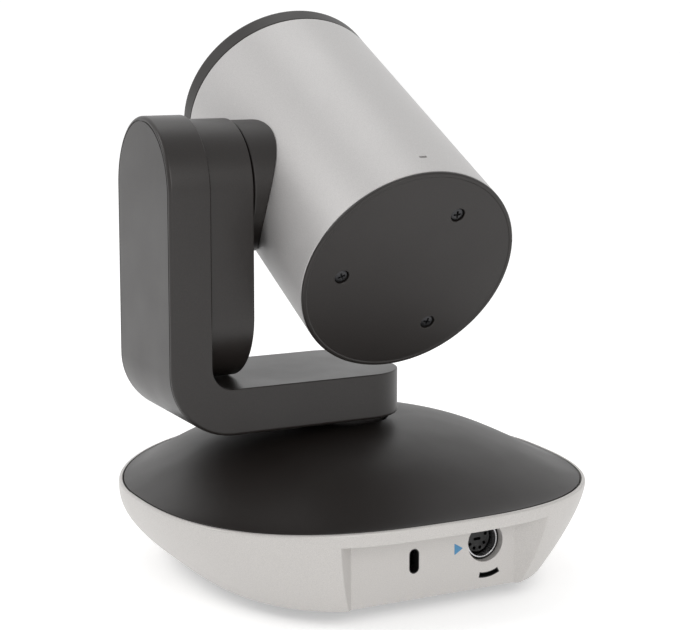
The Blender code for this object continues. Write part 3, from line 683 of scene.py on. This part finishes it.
def make_socket():
    """The inlet's plated shield, its moulded insert with its contact holes, and the plug mark."""
    front = SOCKET_HIGH.y
    centre = Matrix.Translation((SOCKET_X, 0, SOCKET_Z)) @ ALONG_Y
    shield = rounded([(4.35, 0, 0.12), (4.8, 0, 0.12), (4.8, -8), (4.35, -8)], 4)
    shield = lathe("din_shield_ring", [(r * MM, front + h * MM) for r, h in shield], FINE_ROUND)
    piece(shield, STEEL, "base", ["din_shield"], centre)
    insert = [(0, -5.5), (4.05, -5.5), (4.05, -0.25), (3.8, 0), (0, 0)]
    insert = lathe("din_contact_insert", [(r * MM, DIN_FACE + h * MM) for r, h in insert], FINE_ROUND)
    insert.data.transform(centre)
    cut = (DIN_FACE - 4 * MM, DIN_FACE + 2 * MM)
    cutters = []
    for z, columns in ((2.4, (-1.3, 0.0, 1.3)), (0.9, (-2.6, 2.6)), (-1.6, (-2.2, 2.2)), (-2.8, (-0.9, 0.9))):
        for x in columns:
            contact = arc((x * MM, z * MM), CONTACT_R, 0, 345, 23)
            cutters.append(prism("contact", contact, *cut, facing_back(SOCKET_X, SOCKET_Z)))
    key = rounded_box(1.1 * MM, 0.4 * MM, 0.1 * MM)
    cutters.append(prism("key", key, *cut, facing_back(SOCKET_X, SOCKET_Z - 0.3 * MM)))
    carve(insert, *cutters)
    piece(insert, CONNECTOR_BLACK, "base", ["din_insert"])
    mark = rounded([(1.3, 0, 0.12), (-1.3, 1.62, 0.12), (-1.3, -1.62, 0.12)], 3)
    points = [(-u * MM, v * MM) for u, v in reversed(mark)]
    ink = (PANEL_Y - 0.05 * MM, PANEL_Y + 0.04 * MM)
    triangle = prism("plug_mark", points, *ink, facing_back(*PLUG_MARK))
    piece(triangle, BLUE_INK, "base")


def pan_head_screw(name, head, shank, length, drive):
    """A screw along Z with its head's top at zero, a domed head and a cross recess."""
    height = head * 0.5
    tip = -height - length
    profile = [(0, tip), (shank * 0.7, tip), (shank, tip + 0.4 * MM)]
    threads = int(length / (0.5 * MM)) - 2
    for i in range(threads):
        z = tip + (1.0 + 0.5 * i) * MM
        profile += [(shank, z), (shank * 0.82, z + 0.25 * MM)]
    profile += [(shank, -height), (head * 0.96, -height), (head, -height * 0.8), (head, -height * 0.45)]
    profile += [(head * math.cos(t), -height * 0.45 * (1 - math.sin(t))) for t in (0.35, 0.7, 1.05)]
    profile.append((0, 0))
    screw = lathe(name, profile, 48)
    arm = drive * 0.26
    cross = [(drive, -arm), (drive, arm), (arm, arm)]
    for _ in range(3):
        cross += [(-v, u) for u, v in cross[-3:]]
    floor = [(u * 0.55, v * 0.55, -height * 0.8) for u, v in cross]
    recess = lofted("recess", [floor, [(u, v, 0.1 * MM) for u, v in cross]])
    return carve(screw, recess)


def node_middle(name):
    """The centre of a CAD node's box, and its lowest height."""
    low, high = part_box(name)
    return (low + high) / 2, low.z


def make_underside():
    """The rubber ring, the threaded insert, the bottom plate and its screws."""
    ring_in, ring_out = RING_HIGH.x - RING_WIDTH, RING_HIGH.x
    deep, lip, floor = 0.5 * MM, 1.1 * MM, 0.7 * MM
    middle = (ring_in + ring_out) / 2
    corners = [(ring_in, 0, deep), (middle - lip, 0, 0.15 * MM), (middle - floor, deep),
               (middle + floor, deep), (middle + lip, 0, 0.15 * MM), (ring_out, 0, deep),
               (ring_out, RING_HIGH.z), (ring_in, RING_HIGH.z)]
    piece(lathe("foot_ring_rubber", rounded(corners)), RUBBER, "base", ["foot_ring"])
    bore, wall = 3.2 * MM, INSERT_HIGH.x
    low, high = INSERT_LOW.z, INSERT_HIGH.z
    pitch = 1.27 * MM
    profile = [(wall, low), (wall, high)]
    turns = int((high - low) / pitch)
    for i in range(turns):
        z = high - (i + 0.25) * pitch
        steps = ((0, 0), (0, 0.15), (0.5, 0.6), (0, 1.05))
        profile += [(bore + out * MM, z - drop * MM) for out, drop in steps]
    profile += [(bore + 0.3 * MM, low + 0.1 * MM), (bore + 0.5 * MM, low)]
    insert = lathe("tripod_thread", [p for p in profile if p[1] >= low], SMALL_ROUND)
    piece(insert, BRASS, "base", ["tripod_insert"])
    make_bottom_plate()
    for index, name in enumerate(BASE_SCREWS):
        middle, lowest = node_middle(name)
        turn = Matrix.Rotation(math.pi, 4, "X") @ Matrix.Rotation(0.5 + index, 4, "Z")
        place = Matrix.Translation((middle.x, middle.y, lowest)) @ turn
        screw = pan_head_screw(name + "_head", 2.8 * MM, 1.4 * MM, 5.4 * MM, 1.5 * MM)
        piece(screw, STEEL, "base", [name], place)


def make_bottom_plate():
    """The plate under the base, with a rounded edge, a shallow blank field and rows of vents."""
    outline = shell_outline(SHELL_BOTTOM + 0.6 * MM, SHELL_WALL + 1.2 * MM)
    outline[:, 1] = np.minimum(outline[:, 1], PANEL_Y - 3.2 * MM)
    outline = smooth_corners(outline, 1.5 * MM)
    closed = np.concatenate([outline, outline[:1]])
    lengths = lengths_along(closed)
    ring = sample(closed, lengths, np.linspace(0, lengths[-1], 320, endpoint=False))
    centre = ring.mean(axis=0)
    low, high = PLATE_LOW.z, PLATE_HIGH.z
    # each level draws the outline in by about this many millimetres
    levels = ((0.4, high), (0, high - 0.4 * MM), (0, low + 0.5 * MM), (0.15, low + 0.15 * MM), (0.5, low))
    rings = []
    for inset, z in levels:
        shrink = 1 - inset / PLATE_REACH
        rings.append([(*(centre + (p - centre) * shrink), z) for p in ring])
    plate = lofted("bottom_plate_skin", rings)
    through = 20 * MM
    bore = 7.3 * MM
    cutters = [lathe("insert_hole", [(0, 0), (bore, 0), (bore, through), (0, through)], FINE_ROUND)]
    seat_in, seat_out = RING_HIGH.x - RING_WIDTH - GAP, RING_HIGH.x + GAP
    seat_top = 5.4 * MM
    seat = [(seat_in, 0), (seat_out, 0), (seat_out, seat_top), (seat_in, seat_top)]
    cutters.append(lathe("ring_seat", seat))
    well, well_top, shank = 3.2 * MM, 5.6 * MM, 1.9 * MM
    hole = [(0, 0), (well, 0), (well, well_top), (shank, well_top), (shank, through), (0, through)]
    for name in BASE_SCREWS:
        middle = node_middle(name)[0]
        cutters.append(lathe("screw_hole", hole, SMALL_ROUND, (middle.x, middle.y, 0)))
    field = rounded_box(15 * MM, 6 * MM, 1.5 * MM)
    cutters.append(prism("field", [(u, v - 19.5 * MM) for u, v in field], 0, low + 0.3 * MM))
    vent = rounded_box(4.5 * MM, 0.6 * MM, 0.55 * MM)
    for side in (-20 * MM, 20 * MM):
        for k in range(7):
            row = (k - 3) * 2.6 * MM
            cutters.append(prism("vent", [(u + side, v + row) for u, v in vent], 0, through))
    carve(plate, *cutters)
    piece(plate, BLACK, "base", ["bottom_plate"])


def make_base():
    make_lower_shell()
    make_top_cover()
    make_socket()
    make_panel_liners()
    make_underside()
    make_remote_window()


def make_remote_window():
    """The dark window of the remote control's receiver, at the front."""
    half_u = (WINDOW_HIGH.x - WINDOW_LOW.x) / 2
    half_v = (WINDOW_HIGH.z - WINDOW_LOW.z) / 2
    middle = (WINDOW_HIGH.z + WINDOW_LOW.z) / 2
    rings = []
    for inset, y in ((0, WINDOW_HIGH.y), (0, WINDOW_LOW.y + 0.5 * MM), (0.12, WINDOW_LOW.y + 0.15 * MM),
                     (0.45, WINDOW_LOW.y)):
        outline = rounded_box(half_u - inset * MM, half_v - inset * MM, 0.7 * MM)
        rings.append([(u, y, v + middle) for u, v in outline])
    piece(lofted("remote_window", rings), DARK_WINDOW, "base", ["ir_window"])


# ---------------------------------------------------------------- yoke

def slab(name, rows, profile, place, across=12):
    """A plate with a rounded edge, bent by a placing function.

    Rows are (s, half width, normal s, normal y) along one side.  The first may be a flat end; the last is a
    point.  The profile's steps are (inset, face, depth), face 0 being the outer one.
    """
    flat = rows[0][1] > 1e-9
    inner_rows = rows[1:-1]
    columns = [2 * k / across - 1 for k in range(across + 1)]
    start = [(rows[0][0], c * rows[0][1], -1.0, 0.0) for c in columns] if flat else [rows[0]]
    right = [(s, h, ns, ny) for s, h, ns, ny in inner_rows]
    left = [(s, -h, ns, -ny) for s, h, ns, ny in reversed(inner_rows)]
    loop = start + right + [rows[-1]] + left
    count = len(loop)
    points = []
    for inset, face, depth in profile:
        points += [place(s - ns * inset, y - ny * inset, face, depth) for s, y, ns, ny in loop]
    faces = []
    for j in range(len(profile) - 1):
        for i in range(count):
            k = (i + 1) % count
            faces.append((j * count + i, j * count + k, (j + 1) * count + k, (j + 1) * count + i))
    for (inset, face, depth), offset in ((profile[0], 0), (profile[-1], (len(profile) - 1) * count)):
        grid = []
        if flat:
            grid.append([offset + k for k in range(across + 1)])
        first = len(start)
        for i, (s, h, ns, ny) in enumerate(inner_rows):
            row = [offset + count - 1 - i]
            for c in columns[1:-1]:
                row.append(len(points))
                points.append(place(s - ns * inset, c * (h - ny * inset), face, depth))
            row.append(offset + first + i)
            grid.append(row)
        if not flat:
            faces += [(offset, grid[0][k], grid[0][k + 1]) for k in range(across)]
        for low, high in zip(grid, grid[1:]):
            faces += [(low[k], low[k + 1], high[k + 1], high[k]) for k in range(across)]
        tip = offset + first + len(inner_rows)
        faces += [(grid[-1][k], grid[-1][k + 1], tip) for k in range(across)]
    return outward(mesh_object(name, points, faces))


def quarter(inset_from, inset_to, depth_from, depth_to, face, bulge, steps=6):
    """Steps round a quarter circle between two (inset, depth) points.  Bulge 1 leaves along the inset."""
    rows = []
    for k in range(steps + 1):
        t = math.pi / 2 * k / steps
        a, b = (math.sin(t), 1 - math.cos(t)) if bulge else (1 - math.cos(t), math.sin(t))
        rows.append((inset_from + (inset_to - inset_from) * a, face,
                     depth_from + (depth_to - depth_from) * b))
    return rows


END_STEPS = 32
CORNER_STEPS = 14
ARM_LEAN = 36 * MM
FOOT_STRAIGHT = 0.6
FOOT_LENGTH = ARM_OUT - YOKE_BEND - FOOT_END
BEND_LENGTH = YOKE_BEND * math.pi / 2
BEND_Z = FOOT_BOTTOM + YOKE_BEND
ARM_START = FOOT_LENGTH + BEND_LENGTH


def yoke_point(s, y, face, depth):
    """A place on the bent yoke: s along its outer face from the foot's end, depth in from one face."""
    inner_x = ARM_SEAM - YOKE_INNER_BEND
    inner_z = FOOT_TOP + YOKE_INNER_BEND
    if s <= FOOT_LENGTH:
        x = FOOT_END + s
        blend = max(0.0, (s / FOOT_LENGTH - FOOT_STRAIGHT) / (1 - FOOT_STRAIGHT))
        outer = Vector((x, FOOT_BOTTOM))
        inner = Vector((x + blend * (inner_x - (ARM_OUT - YOKE_BEND)), FOOT_TOP))
    elif s <= ARM_START:
        t = (s - FOOT_LENGTH) / YOKE_BEND
        turn = Vector((math.sin(t), -math.cos(t)))
        outer = Vector((ARM_OUT - YOKE_BEND, BEND_Z)) + turn * YOKE_BEND
        inner = Vector((inner_x, inner_z)) + turn * YOKE_INNER_BEND
    else:
        z = BEND_Z + s - ARM_START
        blend = max(0.0, 1 - (z - BEND_Z) / ARM_LEAN)
        outer = Vector((ARM_OUT, z))
        inner = Vector((ARM_SEAM, z + blend * (inner_z - BEND_Z)))
    into = (inner - outer).normalized()
    place = outer + into * depth if face == 0 else inner - into * depth
    return (place.x, y, place.y)


def rounded_end(centre, half):
    """The rows of a half-round end, from just past its centre to its tip."""
    rows = []
    for k in range(1, END_STEPS + 1):
        t = math.pi / 2 * k / END_STEPS
        width = half * math.cos(t) if k < END_STEPS else 0.0
        rows.append((centre + half * math.sin(t), width, math.sin(t), math.cos(t)))
    return rows


def yoke_rows():
    """The yoke's rows: the foot's rounded corners, the foot, the bend, the arm and its round top."""
    rows = []
    for k in range(CORNER_STEPS + 1):
        t = math.pi / 2 * k / CORNER_STEPS
        rows.append((FOOT_CORNER * (1 - math.cos(t)), YOKE_HALF - FOOT_CORNER * (1 - math.sin(t)),
                     -math.cos(t), math.sin(t)))
    top = ARM_START + TILT_Z - BEND_Z
    places = list(np.linspace(FOOT_CORNER, FOOT_LENGTH, 9)[1:])
    places += list(np.linspace(FOOT_LENGTH, ARM_START, 29)[1:])
    places += list(np.linspace(ARM_START, top, 13)[1:])
    rows += [(s, YOKE_HALF, 0.0, 1.0) for s in places]
    return rows + rounded_end(top, YOKE_HALF)


def make_yoke_frame():
    """The outer frame, with a fine line let in round its outer face, just inside the fillet."""
    line, fillet, inner = 1.25 * MM, 0.95 * MM, 0.35 * MM
    steps = ((0.3, 0), (0.16, 0.03), (0.12, 0.28), (-0.12, 0.28), (-0.16, 0.06))
    profile = [(line + inset * MM, 0, depth * MM) for inset, depth in steps]
    profile += quarter(fillet, 0, 0.04 * MM, fillet + 0.04 * MM, 0, True, 8)
    profile += [(0, 0, 5 * MM), (0, 1, 3 * MM)]
    profile += quarter(0, inner, inner, 0, 1, False, 4)
    obj = slab("yoke_frame_skin", yoke_rows(), profile, yoke_point)
    piece(obj, YOKE_BLACK, "yoke", ["yoke_frame"], sharp=38)


def make_arm_housing():
    """The inner half of the arm, with the bearing's bore and a groove round it in its inner face."""
    low = FOOT_TOP + HOUSING_HALF + 0.15 * MM
    seam = ARM_SEAM - 0.22 * MM
    rows = []
    for k in range(END_STEPS + 1):
        t = math.pi / 2 * k / END_STEPS
        half = HOUSING_HALF * math.sin(t) if k else 0.0
        rows.append((low - HOUSING_HALF * math.cos(t), half, -math.cos(t), math.sin(t)))
    rows += [(z, HOUSING_HALF, 0.0, 1.0) for z in np.linspace(low, TILT_Z, 12)[1:]]
    rows += rounded_end(TILT_Z, HOUSING_HALF)
    edge, chamfer = 0.35 * MM, 0.22 * MM
    profile = quarter(edge, 0, 0, edge, 0, True, 6)
    profile += [(0, 0, 4 * MM), (0, 1, chamfer), (chamfer, 1, 0)]

    def place(s, y, face, depth):
        return (ARM_IN + depth if face == 0 else seam - depth, y, s)

    obj = slab("arm_housing_skin", rows, profile, place)
    on_axis = Matrix.Translation((ARM_IN, 0, TILT_Z)) @ ALONG_X
    hole = lathe("bearing_hole", in_mm([(0, -5), (8.4, -5), (8.4, 4), (0, 4)]), FINE_ROUND)
    hole.data.transform(on_axis)
    ring = lathe("bearing_groove", in_mm([(15.4, -1), (16.2, -1), (16.2, 0.4), (15.4, 0.4)]))
    ring.data.transform(on_axis)
    carve(obj, hole, ring)
    piece(obj, YOKE_BLACK, "yoke", ["arm_housing"], sharp=38)


def make_pan_collar():
    """The collar under the yoke, with a shallow groove near its top."""
    low, high, outer, bore = COLLAR_LOW.z, COLLAR_HIGH.z, COLLAR_HIGH.x, 7.3 * MM
    groove = outer - 0.5 * MM
    corners = [(bore, low), (outer, low), (outer, high - 1.1 * MM, 0.1 * MM), (groove, high - 0.9 * MM),
               (groove, high - 0.5 * MM), (outer, high - 0.3 * MM), (outer, high), (bore, high)]
    piece(lathe("pan_collar_ring", rounded(corners)), BLACK, "yoke", ["pan_collar"])


# ---------------------------------------------------------------- head

def head_lathe(name, profile, finish, nodes, sides=ROUND):
    """A turned piece on the barrel's axis, its heights measured from the tilt axis towards the rear."""
    return piece(lathe(name, profile, sides), finish, "head", nodes, HEAD @ ALONG_Y)


def make_barrel():
    """The silver tube, with the small notch on its top near the rear and the raised lip behind it."""
    front = TUBE_FRONT + RING_LENGTH + 0.25 * MM
    back = TUBE_BACK - CAP_LIP - 0.15 * MM
    lip = 0.2 * MM
    outer = rounded([(TUBE_IN, front), (TUBE_R, front, lip), (TUBE_R, back, lip), (TUBE_IN, back)], 4)
    profile = []
    for (r, h), (r_next, h_next) in zip(outer, outer[1:] + outer[:1]):
        profile.append((r, h))
        if abs(h_next - h) > LONG_RUN:
            stops = [TUBE_BACK - d * MM for d in (70, 55, 40, 25, 14, 10.2, 9.0, 7.4, 6.2, 3)]
            stops = stops if h_next > h else stops[::-1]
            profile += [(r, stop) for stop in stops]
    tube = lathe("barrel_skin", profile)
    tube.data.transform(ALONG_Y)
    pocket = rounded_box(1.1 * MM, 0.4 * MM, 0.38 * MM)
    slot = prism("notch", [(u, v + TUBE_BACK - 8.2 * MM) for u, v in pocket], 25 * MM, 40 * MM)
    carve(tube, slot)
    piece(tube, SILVER, "head", ["barrel_tube"], HEAD, sharp=28)
    ledge = rounded_box(1.0 * MM, 0.16 * MM, 0.15 * MM)
    rise = Matrix.Translation((0, TUBE_BACK - 8.75 * MM, TUBE_R - 0.12 * MM))
    burr = prism("notch_lip", ledge, -0.1 * MM, 0.16 * MM, rise @ Matrix.Rotation(0.35, 4, "X"))
    piece(burr, SILVER, "head", place=HEAD)


def make_front_ring():
    """The black ring round the front window, and the window's glass."""
    back = TUBE_FRONT + RING_LENGTH
    seat = WINDOW_R - 2 * MM
    step = TUBE_FRONT + 2.6 * MM
    chamfer = 0.5 * MM
    corners = [(WINDOW_R, step), (WINDOW_R, TUBE_FRONT + chamfer), (WINDOW_R + chamfer, TUBE_FRONT, 0.2 * MM),
               (TUBE_R, TUBE_FRONT, RING_ROUND), (TUBE_R, back, 0.15 * MM), (seat, back), (seat, step)]
    head_lathe("front_ring_bezel", rounded(corners, 12), BLACK, ["front_ring"])
    low, high = TUBE_FRONT + 0.9 * MM, TUBE_FRONT + 2.3 * MM
    edge = 0.2 * MM
    glass_r = WINDOW_R - GAP
    profile = [(0, low), (glass_r - edge, low), (glass_r, low + edge), (glass_r, high - edge),
               (glass_r - edge, high), (0, high)]
    head_lathe("front_glass_disc", profile, FRONT_GLASS, ["front_glass"])


def make_rear_cover():
    """The black cap at the rear, its face a little lower than its rim, and its three screws in wells."""
    flat = TUBE_BACK - 0.12 * MM
    front, lip = TUBE_BACK - 3.3 * MM, TUBE_BACK - CAP_LIP
    spigot, edge = TUBE_IN - GAP, TUBE_R - 0.05 * MM
    corners = [(spigot, front), (spigot, lip), (edge, lip, 0.1 * MM), (edge, TUBE_BACK, 0.5 * MM),
               (edge - 1.0 * MM, TUBE_BACK, 0.2 * MM), (edge - 1.25 * MM, flat, 0.1 * MM),
               (26 * MM, flat), (0, flat)]
    profile = [(0, front)] + rounded(corners, 4, closed=False)
    cover = lathe("rear_cover_disc", profile)
    cover.data.transform(ALONG_Y)
    bore, well, well_floor, chamfer = 1.6 * MM, 2.05 * MM, flat - 1.35 * MM, 0.12 * MM
    hole = [(0, front - 1 * MM), (bore, front - 1 * MM), (bore, well_floor), (well, well_floor),
            (well, flat - chamfer), (2.3 * MM, flat + chamfer), (0, flat + chamfer)]
    wells = []
    for index in range(3):
        turn = math.radians(120 * index)
        x, z = SCREW_CIRCLE * math.cos(turn), SCREW_CIRCLE * math.sin(turn)
        cutter = lathe("screw_well", hole, SMALL_ROUND)
        cutter.data.transform(Matrix.Translation((x, 0, z)) @ ALONG_Y)
        wells.append(cutter)
        name = f"rear_screw_{index + 1}"
        screw = pan_head_screw(name + "_head", 1.95 * MM, 1.2 * MM, 7.5 * MM, 1.2 * MM)
        turned = Matrix.Rotation(0.4 + index * 1.3, 4, "Z")
        place = HEAD @ Matrix.Translation((x, flat - 0.28 * MM, z)) @ ALONG_Y @ turned
        piece(screw, DARK_STEEL, "head", [name], place)
    carve(cover, *wells)
    piece(cover, BLACK, "head", ["rear_cover"], HEAD)


def make_hub():
    """The collar between barrel and arm, its inner end cut to the barrel's curve."""
    end = ARM_IN - 0.55 * MM
    turns = [2 * math.pi * k / ROUND for k in range(ROUND)]

    def saddle(radius, rise):
        ring = []
        for t in turns:
            y, z = radius * math.cos(t), radius * math.sin(t)
            ring.append((math.sqrt(TUBE_R ** 2 - z ** 2) + rise, y, z))
        return ring

    def level(radius, x):
        return [(x, radius * math.cos(t), radius * math.sin(t)) for t in turns]

    bore, fillet = 6.2 * MM, 0.5 * MM
    straight = saddle(HUB_R, 0.42 * MM)
    rings = [saddle(bore, -0.2 * MM), saddle(HUB_R - 0.35 * MM, -0.2 * MM),
             saddle(HUB_R - 0.32 * MM, 0.06 * MM), straight]
    for share in (0.25, 0.5, 0.75):
        rings.append([(x + (end - fillet - x) * share, y, z) for x, y, z in straight])
    corner = rounded([(HUB_R, 0), (HUB_R, end, fillet), (HUB_R - 2 * MM, end)], 5, closed=False)
    rings += [level(radius, x) for radius, x in corner[1:-1]]
    rings.append(level(bore, end))
    hub = lofted("hub_collar_skin", rings, closed=True)
    piece(hub, BLACK, "head", ["hub_collar"], HEAD)


def make_optics():
    """The lens housing, its ribbed retaining ring and the front lens."""
    housing = [(21, -37, 0.3), (21, -12), (20, -12), (20, 12), (14, 12), (14, -30), (17, -30), (17, -37)]
    head_lathe("lens_housing_tube", rounded(in_mm(housing)), LENS_BLACK, ["lens_housing"])
    retainer = [(20.5, -37.3), (20.5, -39, 0.3), (19.2, -39), (19.0, -38.7), (18.6, -38.7), (18.4, -39),
                (17.4, -39), (17.2, -38.6), (16.8, -38.6), (16.6, -38.8), (16.1, -38.4), (14.8, -37.3)]
    head_lathe("lens_retainer_ring", rounded(in_mm(retainer)), LENS_BLACK, ["lens_retainer"])
    radius, low, high, bulge = 16.6 * MM, -36.6 * MM, -31 * MM, 1.6 * MM
    shares = [k / 16 for k in range(17)]
    rim = [(radius * f, low + bulge * f * f) for f in shares]
    rim += [(radius * f, high - bulge * f * f) for f in reversed(shares)]
    head_lathe("front_lens_element", rim, LENS_GLASS, ["front_lens"])


def make_head():
    make_barrel()
    make_front_ring()
    make_rear_cover()
    make_hub()
    make_optics()


# ---------------------------------------------------------------- studio

CAMERA_AZIMUTH = math.radians(153.23)
CAMERA_DISTANCE = 0.4946
CAMERA_HEIGHT = 0.1573
CAMERA_PITCH = math.radians(8.04)
CAMERA_LENS = 91.81
CAMERA_SHIFT = -0.081
TOWARDS_CAMERA = Vector((math.sin(CAMERA_AZIMUTH), -math.cos(CAMERA_AZIMUTH), 0))
CAMERA_RIGHT = Vector((0, 0, 1)).cross(TOWARDS_CAMERA)
LIGHT_TARGET = Vector((0, 0, 0.08))
BACKDROP_WAY = (-0.35, -0.94, 0.0)
ROOM_LEVEL = 0.62
BACKDROP_LEVEL = 1.06
FLOOR_GLOW = 0.42
FLOOR_HALF = 6


def make_camera():
    data = bpy.data.cameras.new("camera")
    data.lens = CAMERA_LENS
    data.shift_y = CAMERA_SHIFT
    data.clip_start = 0.01
    camera = bpy.data.objects.new("camera", data)
    camera.location = TOWARDS_CAMERA * CAMERA_DISTANCE + Vector((0, 0, CAMERA_HEIGHT))
    look = -TOWARDS_CAMERA * math.cos(CAMERA_PITCH) - Vector((0, 0, math.sin(CAMERA_PITCH)))
    camera.rotation_euler = look.to_track_quat("-Z", "Y").to_euler()
    bpy.context.scene.collection.objects.link(camera)
    bpy.context.scene.camera = camera


def area_light(name, right, towards, up, size, power, colour=(1, 1, 1)):
    """A soft panel placed by how far it stands to the right of, in front of and above the camera body."""
    data = bpy.data.lights.new(name, "AREA")
    data.shape = "RECTANGLE"
    data.size, data.size_y = size
    data.energy = power
    data.color = colour
    light = bpy.data.objects.new(name, data)
    place = CAMERA_RIGHT * right + TOWARDS_CAMERA * towards + Vector((0, 0, up))
    light.location = place
    light.rotation_euler = (LIGHT_TARGET - place).to_track_quat("-Z", "Y").to_euler()
    bpy.context.scene.collection.objects.link(light)


def make_world():
    """White all round, and brighter where the backdrop stands, beyond the camera body from the camera."""
    world = bpy.data.worlds.new("studio")
    world.use_nodes = True
    tree = world.node_tree
    around = node(tree, "ShaderNodeTexCoord")
    away = node(tree, "ShaderNodeVectorMath")
    away.operation = "DOT_PRODUCT"
    away.inputs[1].default_value = BACKDROP_WAY
    tree.links.new(around.outputs["Generated"], away.inputs[0])
    level = spread(tree, away.outputs["Value"], ROOM_LEVEL, BACKDROP_LEVEL, 0.0, 0.75)
    tune(tree.nodes["Background"], Color=(1.0, 1.0, 1.0, 1), Strength=level)
    bpy.context.scene.world = world


def make_floor():
    """A pale floor that glows a little, so that it meets the backdrop without a line."""
    corners = [(FLOOR_HALF * x, FLOOR_HALF * y, 0) for x, y in ((-1, -1), (1, -1), (1, 1), (-1, 1))]
    floor = mesh_object("floor", corners, [(0, 1, 2, 3)])
    finish, tree, shader = new_material("pale_floor")
    colour = ramp(tree, noise(tree, 3.0), (0.8, 0.8, 0.8), (0.82, 0.82, 0.82))
    tune(shader, Base_Color=colour, Emission_Color=(1.0, 1.0, 1.0, 1.0), Emission_Strength=FLOOR_GLOW,
         Roughness=0.9, Specular_IOR_Level=0.1)
    floor.data.materials.append(finish)


def make_studio():
    make_camera()
    make_world()
    make_floor()
    area_light("key", 0.45, 0.95, 0.55, (0.4, 0.5), 3.0, (1.0, 0.985, 0.965))
    area_light("left_fill", -0.8, 0.15, 0.75, (0.25, 0.6), 2.2, (1.0, 0.99, 0.985))
    area_light("top", -0.1, -0.35, 1.0, (0.5, 0.5), 0.8)
    bpy.context.scene.view_settings.view_transform = "Standard"


make_studio()
finish_frame()
make_base()
make_yoke_frame()
make_arm_housing()
make_pan_collar()
make_head()
